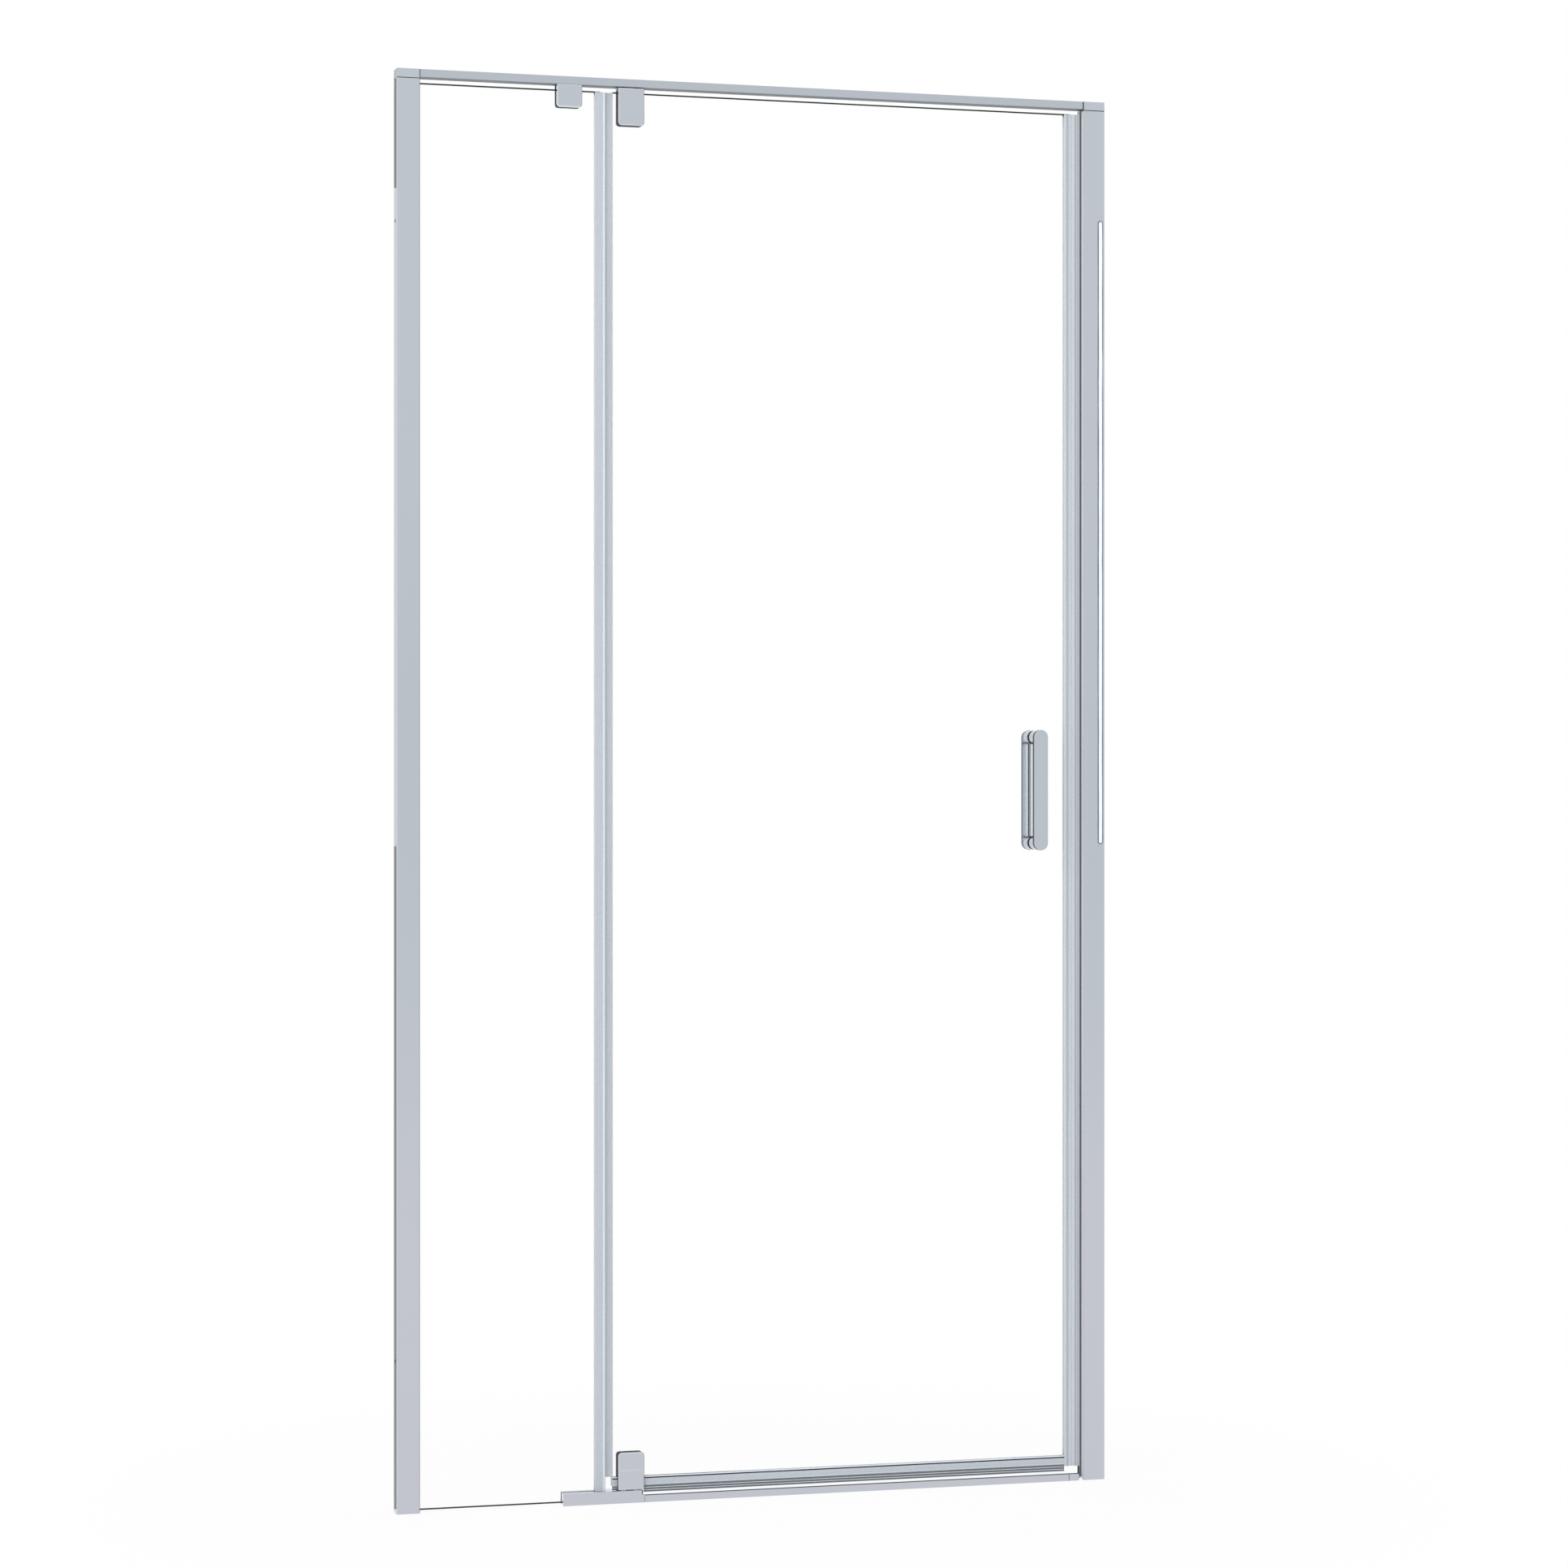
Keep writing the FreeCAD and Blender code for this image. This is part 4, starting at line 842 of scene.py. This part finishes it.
@dataclass
class OuterFrame(SubAssembly):
    """Jambs over their wall channels, header rail and its two corner caps."""

    edge_radius: float = 1.2 * MM
    seam_reach: float = 1.32 * MM
    lock_heights: tuple[float, ...] = (0.22, 0.95, 1.68)
    lock_inset: float = 8.0 * MM
    lock_seat: float = 9.6 * MM
    lock_screw: SocketScrew = field(
        default_factory=lambda: SocketScrew(
            head_radius=3.2 * MM, head_height=2.9 * MM, shank_length=6 * MM, socket_across=2.0 * MM
        )
    )

    def make_jambs(self) -> None:
        """Makes both upright jamb profiles with rounded long edges, and dresses the channels in them."""
        for side, choose in (("left", self.left_jamb_finish), ("right", self.right_jamb_finish)):
            jamb = Shape.from_node(f"jamb_profile_{side}").round_edges(self.edge_radius, 3, only=is_long)
            jamb.piece(f"jamb_{side}", Body.FRAME, Slot.METAL, self.finishes.upright, choose)
            dress(f"wall_channel_{side}", self.finishes.upright)

    def left_jamb_finish(self, face: Face) -> Material | None:
        """Finds the rounded edge by the wall, in painted highlight, and the one by the glass, in painted
        shade.

        Args:
            face: A face of the jamb.

        Returns:
            Its finish, or None for the main one.
        """
        if not is_rounding(face) or abs(face.normal.z) > ASIDE:
            return None
        low, high = box_of("jamb_profile_left")
        x = face.calc_center_median().x
        if x < low.x + self.edge_radius:
            return self.finishes.bright
        return self.finishes.painted_shade if x > high.x - self.edge_radius else None

    def right_jamb_finish(self, face: Face) -> Material | None:
        """Finds the side by the strike seal, painted light, and the facets of its rounded edge, in painted
        shade and painted highlight.

        Args:
            face: A face of the jamb.

        Returns:
            Its finish, or None for the main one.
        """
        to_side, to_front = -face.normal.x, abs(face.normal.y)
        reach = box_of("jamb_profile_right")[0].x + self.edge_radius
        if face.calc_center_median().x > reach or to_side < TILTS or abs(face.normal.z) > ASIDE:
            return None
        if to_front < TURNED:
            return self.finishes.painted_light
        return self.finishes.painted_shade if to_front < FACES else self.finishes.bright

    def is_seam(self, face: Face) -> bool:
        """Tells whether a face is the rounding of an edge at a corner seam.

        Args:
            face: A face of the rail or of a cap.

        Returns:
            True for such a face.
        """
        centre = face.calc_center_median()
        seam_x, seam_z = box_of("header_rail")[1].x, box_of("jamb_profile_left")[1].z
        at_side = abs(abs(centre.x) - seam_x) < self.seam_reach and abs(face.normal.x) > TILTS
        at_foot = abs(centre.z - seam_z) < self.seam_reach and face.normal.z < -TILTS
        return is_rounding(face) and (at_side or at_foot)

    def header_finish(self, face: Face) -> Material | None:
        """Returns the painted shade of the header's underside or of its seams, else None."""
        if face.normal.z < -FACES:
            return self.finishes.underside
        return self.finishes.dull if self.is_seam(face) else None

    def make_header(self) -> None:
        """Makes the header rail and its caps."""
        rail = Shape.from_node("header_rail").round_edges(self.edge_radius, 3, only=is_long)
        rail.piece("header", Body.FRAME, Slot.METAL, self.finishes.header, self.header_finish)
        for side in ("left", "right"):
            cap = Shape.from_node(f"header_cap_{side}").round_edges(self.edge_radius, 3, only=is_long)
            # The caps' seams take painted shade
            cap.piece(
                f"corner_cap_{side}", Body.FRAME, Slot.FITTING, self.finishes.fitting,
                lambda face: self.finishes.painted_shade if self.is_seam(face) else None,
            )

    def make_lock_screws(self) -> None:
        """Makes the screws in the rear of each jamb that lock it to its wall channel."""
        for side in ("left", "right"):
            low, high = box_of(f"jamb_profile_{side}")
            x = low.x + self.lock_inset if side == "left" else high.x - self.lock_inset
            screws = Shape()
            for height in self.lock_heights:
                self.lock_screw.add_to(screws, Vector((x, self.lock_seat, height)))
            screws.piece(f"jamb_lock_screws_{side}", Body.FRAME, Slot.SCREW, self.finishes.screw)

    def build(self) -> None:
        """Makes all of it."""
        self.make_jambs()
        self.make_header()
        self.make_lock_screws()


@dataclass
class Pane(SubAssembly):
    """A pane of toughened glass with a small polished arris and darker edges, its upright edges painted
    light.
    """

    node: str
    name: str
    body: Body
    arris: float = 1.25 * MM
    least_edge: float = 12.0 * MM

    def build(self) -> None:
        """Makes the pane."""
        shape = Shape.from_node(self.node).round_edges(self.arris, 1, only=self.is_outer, clamp=False)
        shape.piece(self.name, self.body, Slot.GLASS, self.finishes.pane, self.edge_finish)

    def edge_finish(self, face: Face) -> Material | None:
        """Finds the pane's upright edges, which lie in light seals and are painted light as their reflection,
        and its other edges.

        Args:
            face: A face of the pane.

        Returns:
            Its finish, or None for the faces towards the room and the shower.
        """
        if abs(face.normal.y) > FACES:
            return None
        low, high = box_of(self.node)
        x = face.calc_center_median().x
        upright = min(x - low.x, high.x - x) < self.arris and abs(face.normal.x) > TURNED
        return self.finishes.painted_pale_edge if upright else self.finishes.edge

    def is_outer(self, edge: Edge) -> bool:
        """Tells whether an edge is a long one that runs round one of the pane's two faces."""
        start, end = (vertex.co.y for vertex in edge.verts)
        return edge.calc_length() > self.least_edge and abs(start - end) < NEAR


@dataclass
class ClampedFitting(SubAssembly):
    """A metal fitting that holds glass between two plates: a glass clamp or a hinge."""

    name: str
    body: Body
    side_finish: Material
    edge_radius: float = 0.9 * MM
    rim_reach: float = 2.6 * MM

    def build(self) -> None:
        """Makes both plates with rounded edges and dresses the gaskets."""
        for part, choose in (("front_plate", self.front_finish), ("rear_body", None)):
            node = f"{self.name}_{part}"
            plate = Shape.from_node(node).round_edges(self.edge_radius, 3, only=self.is_rim)
            plate.piece(f"{node}_polished", self.body, Slot.FITTING, self.finishes.fitting, choose)
        # the gaskets take the near-dark gasket finish, painted shade between the plates
        dress(f"{self.name}_gaskets", self.finishes.shade_painted_gasket)

    def front_finish(self, face: Face) -> Material | None:
        """Finds the front plate's sides, in the side finish, which is painted shade on the hinges, and its
        rounded edges, in painted highlight or painted shade.

        Args:
            face: A face of the plate.

        Returns:
            Its finish, or None for the main one.
        """
        if abs(face.normal.y) < SLOPES:
            return self.side_finish
        if not is_rounding(face):
            return None
        return self.finishes.dull if face.normal.x > LEANS else self.finishes.bright

    def is_rim(self, edge: Edge) -> bool:
        """Tells whether an edge is on the outer rim of a plate's shown face.

        Args:
            edge: An edge of either plate.

        Returns:
            True for such an edge.
        """
        low, high = box_of(f"{self.name}_front_plate")
        rear_face = box_of(f"{self.name}_rear_body")[1].y
        for place in (vertex.co for vertex in edge.verts):
            to_face = min(abs(place.y - low.y), abs(place.y - rear_face))
            to_side = min(place.x - low.x, high.x - place.x, place.z - low.z, high.z - place.z)
            if to_face >= 10 * HAIR or to_side > self.rim_reach:
                return False
        return True


@dataclass
class Seal(SubAssembly):
    """A hollow seal with a clear left side, painted light."""

    radius: float = 0.25 * MM
    inner_from: float = 2.0 * MM

    def make(self, node: str, name: str, body: Body, finish: Material) -> None:
        """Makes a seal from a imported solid, on a body and with a frosted finish."""
        shape = Shape.from_node(node).round_edges(self.radius, 2)
        shape.piece(name, body, Slot.SEAL, finish, self.side_finish)

    def side_finish(self, face: Face) -> Material | None:
        """Returns the painted light of the left side and the rear wall's inner face, else None."""
        inner = face.normal.y < -TURNED and face.calc_center_median().y > self.inner_from
        return self.finishes.painted_light if inner or face.normal.x < -TURNED else None


@dataclass
class FixedPanel(SubAssembly):
    """The fixed pane with its glazing gasket, edge seal and glass clamp."""

    clamp_screw: SocketScrew = field(default_factory=SocketScrew)
    screw_seat: float = 7.2 * MM

    def build(self) -> None:
        """Makes all of it."""
        Pane(self.finishes, "fixed_glass", "fixed_pane", Body.FRAME).build()
        dress("glazing_gasket", self.finishes.gasket)
        Seal(self.finishes).make("fixed_panel_edge_seal", "edge_seal", Body.FRAME, self.finishes.edge_seal)
        ClampedFitting(self.finishes, "glass_clamp", Body.FRAME, self.finishes.upright).build()
        low, high = box_of("glass_clamp_screw")
        screw = Shape("glass_clamp_screw")
        self.clamp_screw.add_to(screw, Vector(((low.x + high.x) / 2, self.screw_seat, (low.z + high.z) / 2)))
        screw.piece("glass_clamp_cap_screw", Body.FRAME, Slot.SCREW, self.finishes.screw)


@dataclass
class Sill(SubAssembly):
    """Low sill: pivot block, sill rail and end block."""

    edge_radius: float = 0.5 * MM
    block_radius: float = 1.5 * MM

    def build(self) -> None:
        """Makes the three pieces and dresses the liner under the fixed pane."""
        finishes = self.finishes
        block = Shape.from_node("bottom_pivot_block").round_edges(self.block_radius, 3, only=is_long)
        block.piece("pivot_block", Body.FRAME, Slot.FITTING, finishes.fitting, self.block_finish)
        for node, name, slot, finish in (
            ("sill_rail", "sill", Slot.METAL, finishes.level),
            ("sill_end_block", "sill_end", Slot.FITTING, finishes.fitting),
        ):
            length = Shape.from_node(node).round_edges(self.edge_radius, 2, only=is_long)
            length.piece(name, Body.FRAME, slot, finish, self.rail_finish)
        dress("pivot_block_liner", finishes.gasket)

    def block_finish(self, face: Face) -> Material | None:
        """Finds the block's left end, in painted highlight, the edge before it, in a painted dark line, and
        the edge along its top, in painted shade.

        Args:
            face: A face of the block.

        Returns:
            Its finish, or None for the main one.
        """
        low, high = box_of("bottom_pivot_block")
        centre, to_front = face.calc_center_median(), face.normal.y < -ASIDE
        if centre.x < low.x + self.block_radius and face.normal.x < -SLOPES:
            return self.finishes.painted_line if to_front else self.finishes.painted_gleam
        upper = centre.z > high.z - 1.2 * self.block_radius and is_rounding(face)
        return self.finishes.rim if upper and to_front else None

    def rail_finish(self, face: Face) -> Material | None:
        """Finds a rail's top, in painted highlight, and its sloping front edge and rounded ends, in painted
        shade.

        Args:
            face: A face of the rail.

        Returns:
            Its finish, or None for the main one.
        """
        if face.normal.z > FACES:
            return self.finishes.painted_gleam
        sloping = face.normal.z > SLOPES or abs(face.normal.x) > SLOPES
        return self.finishes.painted_shade if is_rounding(face) and face.normal.y <= -ASIDE and sloping else None


@dataclass
class StrikeJamb(SubAssembly):
    """The strike seal on the closing jamb, with its magnetic strip."""

    seal_radius: float = 0.2 * MM

    def build(self) -> None:
        """Makes the seal and dresses the strip."""
        seal = Shape.from_node("strike_seal").round_edges(self.seal_radius, 2)
        seal.piece("strike_seal_frosted", Body.FRAME, Slot.SEAL, self.finishes.strike_seal)
        dress("strike_magnet", self.finishes.magnet)


@dataclass
class Hinges(SubAssembly):
    """Top and bottom pivot hinges, their screws, pins and bushes."""

    screw: SocketScrew = field(default_factory=SocketScrew)
    screw_seat: float = 7.2 * MM
    screw_spacing: float = 17.0 * MM
    screw_heights: tuple[float, float] = (0.030, 1.8755)

    def build(self) -> None:
        """Makes the plates and screws, and dresses pins and bushes."""
        for end in ("top", "bottom"):
            # The hinge plates' sides take the dark rim finish: painted shade
            ClampedFitting(self.finishes, f"{end}_hinge", Body.DOOR, self.finishes.rim).build()
            dress(f"{end}_hinge_pin", self.finishes.screw)
            dress(f"{end}_pivot_bush", self.finishes.nylon)
        low, high = box_of("hinge_screws")
        middle = (low.x + high.x) / 2
        screws = Shape("hinge_screws")
        for height in self.screw_heights:
            for way in (-1, 1):
                seat = Vector((middle + way * self.screw_spacing / 2, self.screw_seat, height))
                self.screw.add_to(screws, seat)
        screws.piece("hinge_cap_screws", Body.DOOR, Slot.SCREW, self.finishes.screw)


@dataclass
class DoorSeals(SubAssembly):
    """Bottom sweep in two lengths, and the magnetic seal on the closing edge."""

    top_radius: float = 0.5 * MM
    wall: float = 1.5 * MM
    groove_from: float = 0.3 * MM
    groove_to: float = 1.04 * MM
    groove_top: float = 22.2 * MM

    def sweep_finish(self, face: Face) -> Material | None:
        """Finds the top of the rear wall, painted light, and the grooves between the fin's ribs, in painted
        shade.

        Args:
            face: A face of the sweep.

        Returns:
            Its finish, or None for the main one.
        """
        low, high = box_of("door_sweep")
        centre = face.calc_center_median()
        if centre.y > high.y - self.wall and centre.z > high.z - 1.2 * self.top_radius:
            return self.finishes.painted_light
        in_groove = self.groove_from < centre.y - low.y < self.groove_to and centre.z < self.groove_top
        return self.finishes.groove if in_groove and face.normal.y < TURNED else None

    def is_top_lip(self, edge: Edge) -> bool:
        """Tells whether an edge is an outer one along the top of the sweep's grip.

        Args:
            edge: An edge of the sweep.

        Returns:
            True for such an edge.
        """
        low, high = box_of("door_sweep")
        places = [vertex.co for vertex in edge.verts]
        return all(at.z > high.z - NEAR and min(at.y - low.y, high.y - at.y) < NEAR for at in places)

    def build(self) -> None:
        """Makes the seals and dresses the magnetic strip."""
        for node in ("door_sweep", "door_sweep_tail"):
            sweep = Shape.from_node(node).round_edges(self.top_radius, 2, only=self.is_top_lip)
            sweep.piece(f"{node}_frosted", Body.DOOR, Slot.SEAL, self.finishes.sweep, self.sweep_finish)
        Seal(self.finishes).make("door_magnet_seal", "closing_seal", Body.DOOR, self.finishes.closing_seal)
        dress("door_magnet_strip", self.finishes.magnet)


@dataclass
class PullHandle(SubAssembly):
    """Back-to-back pull handle: two flat grips with full round ends on turned posts."""

    width: float = 20.0 * MM
    face_edge: float = 1.0 * MM
    post_radius: float = 9.5 * MM
    post_edge: float = 0.5 * MM
    post_foot: float = 4.0 * MM
    post_pitch: float = 145.0 * MM
    stud_radius: float = 4.0 * MM
    stud_end: float = 15.0 * MM
    stud_overlap: float = 1.0 * MM
    end_steps: int = 24
    dim_from: float = 0.25
    reflection_strips: tuple[float, ...] = (392.6 * MM, 393.6 * MM, 395.1 * MM, 397.3 * MM)

    def make_grip(self, side: Side) -> None:
        """Makes one grip plate.

        Args:
            side: The side of the glass that it is on.
        """
        node = f"handle_grip_{side.value}"
        low, high = box_of(node)
        outline = rounded_rectangle(low.x, high.x, low.z, high.z, self.width / 2 - HAIR, self.end_steps)
        face = low.y if side is Side.FRONT else high.y
        grip = Shape(node).add_prism(outline, low.y, high.y)
        grip.round_edges(
            self.face_edge, 4, only=lambda edge: all(abs(vertex.co.y - face) < HAIR for vertex in edge.verts)
        )
        if side is Side.REAR:
            grip.split_at(*self.reflection_strips)
        grip.piece(f"grip_{side.value}", Body.DOOR, Slot.FITTING, self.finishes.fitting, self.grip_finish)

    def grip_finish(self, face: Face) -> Material | None:
        """Finds a grip's sides, in painted shade, its rounded edges, in painted highlight and shade, and the
        strips of the rear grip's inner face, in painted reflection.

        Args:
            face: A face of a grip.

        Returns:
            Its finish, or None for the main one.
        """
        finishes, centre = self.finishes, face.calc_center_median()
        if abs(face.normal.y) < LEANS:
            return finishes.rim if centre.y < 0 else finishes.painted_shade
        if is_rounding(face):
            return finishes.dull if face.normal.x > self.dim_from else finishes.bright
        if face.normal.y > 0 or centre.y < 0:
            return None
        # strips of the rear grip's inner face, a painted reflection: light grey, main, dark line, dim and
        # highlight
        strip = sum(centre.x > x for x in self.reflection_strips)
        return (finishes.soft, None, finishes.painted_line, finishes.dull, finishes.bright)[strip]

    def post_finish(self, face: Face) -> Material | None:
        """Returns the painted shade of a post's rounded edge, else None."""
        return self.finishes.dull if is_rounding(face) and abs(face.normal.y) > LEANS else None

    def make_posts(self, side: Side) -> None:
        """Makes the two posts of one grip, and on the rear ones the studs that go through the glass.

        Args:
            side: The side of the glass that they are on.
        """
        low, high = box_of(f"handle_grip_{side.value}")
        x, z = (low.x + high.x) / 2, (low.z + high.z) / 2
        near, far = (high.y, -self.post_foot) if side is Side.FRONT else (self.post_foot, low.y)
        posts = Shape(f"handle_posts_{side.value}")
        for way in (-1, 1):
            middle = z + way * self.post_pitch / 2
            posts.add_prism(circle(x, middle, self.post_radius), near, far)
            if side is Side.REAR:
                posts.add_prism(circle(x, middle, self.stud_radius), -self.stud_end, near + self.stud_overlap)
        posts.round_edges(self.post_edge, 2)
        posts.piece(f"posts_{side.value}", Body.DOOR, Slot.FITTING, self.finishes.fitting, self.post_finish)

    def build(self) -> None:
        """Makes both sides and dresses the washers."""
        for side in Side:
            self.make_grip(side)
            self.make_posts(side)
        dress("handle_washers", self.finishes.shade_painted_gasket)


# --- studio ---


@dataclass
class Studio:
    """Plain white studio: pale floor, white surround, one soft lamp, a tall card, a tube light, the camera.

    Only polished metal shows the card, which stands by the left wall, and the tube light with its housing.
    """

    camera_place: Point3 = (-1.4268, -5.1857, 0.9594)
    camera_turn: float = 15.767
    camera_reach: float = 100.0
    lens: float = 91.53
    sensor: float = 36.0
    surround: float = 0.8
    floor_size: float = 60.0
    floor_drop: float = 0.5 * MM
    shadow_share: float = 0.06
    shadow_start: float = 0.5
    shadow_reach: float = 1.2
    card_x: tuple[float, float] = (-0.507, -0.4945)
    card_y: float = 0.03
    card_levels: tuple[float, ...] = (0.0, 0.877, 1.748, 1.893, 1.94)
    card_greys: tuple[float, ...] = (0.38, 0.9, 0.38, 0.7)
    tube_place: tuple[float, float] = (1.4691, -2.66)
    tube_levels: tuple[float, float] = (0.836, 2.132)
    tube_width: float = 7.4 * MM
    tube_grey: float = 1.9
    housing_rim: float = 2.7 * MM
    housing_back: float = 1.0 * MM
    housing_grey: float = 0.4
    lamp_place: Point3 = (-2.5, -3.5, 3.2)
    lamp_aim: Point3 = (0.0, 0.0, 0.9)
    lamp_size: float = 2.5
    lamp_power: float = 60.0

    def make_world(self) -> None:
        """Makes the surround: white where it is seen, and softer as a light."""
        world = bpy.data.worlds.new("surround")
        bpy.context.scene.world = world
        world.use_nodes = True
        sky = Nodes(world.node_tree)
        level = self.surround + sky.shown() * (1.0 - self.surround)
        back = sky.add("ShaderNodeBackground", sockets={"Color": (*WHITE, 1.0), "Strength": level})
        sky.add("ShaderNodeOutputWorld", sockets={"Surface": back.outputs[0]})

    def stage_sheet(self, name: str, corners: Sequence[Point3], finish: Material) -> bpy.types.Object:
        """Puts a flat sheet into the studio.

        Args:
            name: The sheet's name.
            corners: Its corners in order.
            finish: Its material.

        Returns:
            The new object.
        """
        data = bpy.data.meshes.new(name)
        data.from_pydata(corners, [], [tuple(range(len(corners)))])
        data.materials.append(finish)
        sheet = new_object(name, data)
        return sheet

    def make_floor(self) -> None:
        """Makes the floor, white where it is seen, with the object's faint shadow near it."""
        paint = Paint("studio_floor")
        length = paint.add("ShaderNodeVectorMath", {"operation": "LENGTH"}, {0: paint.place()})
        far = Value(paint, length.outputs["Value"]).ramp(self.shadow_start, self.shadow_reach)
        mottle = paint.noise(2.0, detail=2.0)
        colour = paint.blend((0.86, 0.86, 0.86), (0.88, 0.88, 0.88), mottle.ramp(0.3, 0.7))
        pale = paint.add("ShaderNodeBsdfDiffuse", sockets={"Color": colour})
        glow = paint.glow(1.0)
        white = paint.shown() * (1.0 - self.shadow_share * (1.0 - far))
        mixed = paint.add("ShaderNodeMixShader", sockets={0: white, 1: pale.outputs[0], 2: glow.outputs[0]})
        half = self.floor_size / 2
        corners = [(-half, -half, 0), (half, -half, 0), (half, half, 0), (-half, half, 0)]
        self.stage_sheet("studio_floor", corners, paint.finish(mixed)).location.z = -self.floor_drop

    def make_card(self, name: str, corners: Sequence[Point3], grey: float) -> None:
        """Makes a sheet of one grey that only shows in polished metal.

        Args:
            name: The sheet's name.
            corners: Its corners in order.
            grey: How bright it is.
        """
        paint = Paint(f"{name}_face")
        card = self.stage_sheet(name, corners, paint.finish(paint.glow(grey)))
        card.visible_camera = card.visible_diffuse = card.visible_transmission = False
        card.visible_shadow = card.visible_volume_scatter = False

    def make_wall_card(self) -> None:
        """Makes the card by the left wall, with one grey between each two of its levels."""
        left, right = self.card_x
        y = self.card_y
        strips = zip(self.card_levels, self.card_levels[1:], self.card_greys)
        for count, (low, high, grey) in enumerate(strips, 1):
            corners = [(left, y, low), (right, y, low), (right, y, high), (left, y, high)]
            self.make_card(f"card_by_left_wall_{count}", corners, grey)

    def make_tube_light(self) -> None:
        """Makes the slim upright light with its dark housing, whose mirror image lies in the right jamb."""
        x, y = self.tube_place
        low, high = self.tube_levels
        for name, rim, back, grey in (
            ("tube_light", 0.0, 0.0, self.tube_grey),
            ("tube_housing", self.housing_rim, self.housing_back, self.housing_grey),
        ):
            half = self.tube_width / 2 + rim
            outline = rounded_rectangle(x - half, x + half, low - rim, high + rim, half - 10 * HAIR)
            self.make_card(name, [(a, y - back, b) for a, b in outline], grey)

    def make_lamp(self) -> None:
        """Makes the soft lamp."""
        data = bpy.data.lights.new("key_lamp", "AREA")
        data.size, data.energy = self.lamp_size, self.lamp_power
        lamp = new_object("key_lamp", data)
        lamp.location = self.lamp_place
        aim = Vector(self.lamp_aim) - Vector(self.lamp_place)
        lamp.rotation_euler = aim.to_track_quat("-Z", "Y").to_euler()
        lamp.visible_glossy = lamp.visible_camera = False

    def make_camera(self) -> None:
        """Makes the camera at the photograph's angle."""
        data = bpy.data.cameras.new("camera")
        data.lens, data.sensor_width, data.clip_end = self.lens, self.sensor, self.camera_reach
        camera = new_object("camera", data)
        camera.location = self.camera_place
        camera.rotation_euler = (math.radians(90), 0.0, math.radians(-self.camera_turn))
        bpy.context.scene.camera = camera

    def build(self) -> None:
        """Makes all of it."""
        bpy.context.scene.view_settings.view_transform = "Standard"
        self.make_world()
        self.make_floor()
        self.make_wall_card()
        self.make_tube_light()
        self.make_lamp()
        self.make_camera()


def main() -> None:
    """Builds the door and its studio."""
    logging.basicConfig(level=logging.INFO, format="%(name)s: %(message)s")
    finishes = Finishes()
    OuterFrame(finishes).build()
    FixedPanel(finishes).build()
    Sill(finishes).build()
    StrikeJamb(finishes).build()
    Pane(finishes, "door_glass", "door_pane", Body.DOOR).build()
    Hinges(finishes).build()
    DoorSeals(finishes).build()
    PullHandle(finishes).build()
    Studio().build()


if __name__ == "__main__":
    main()
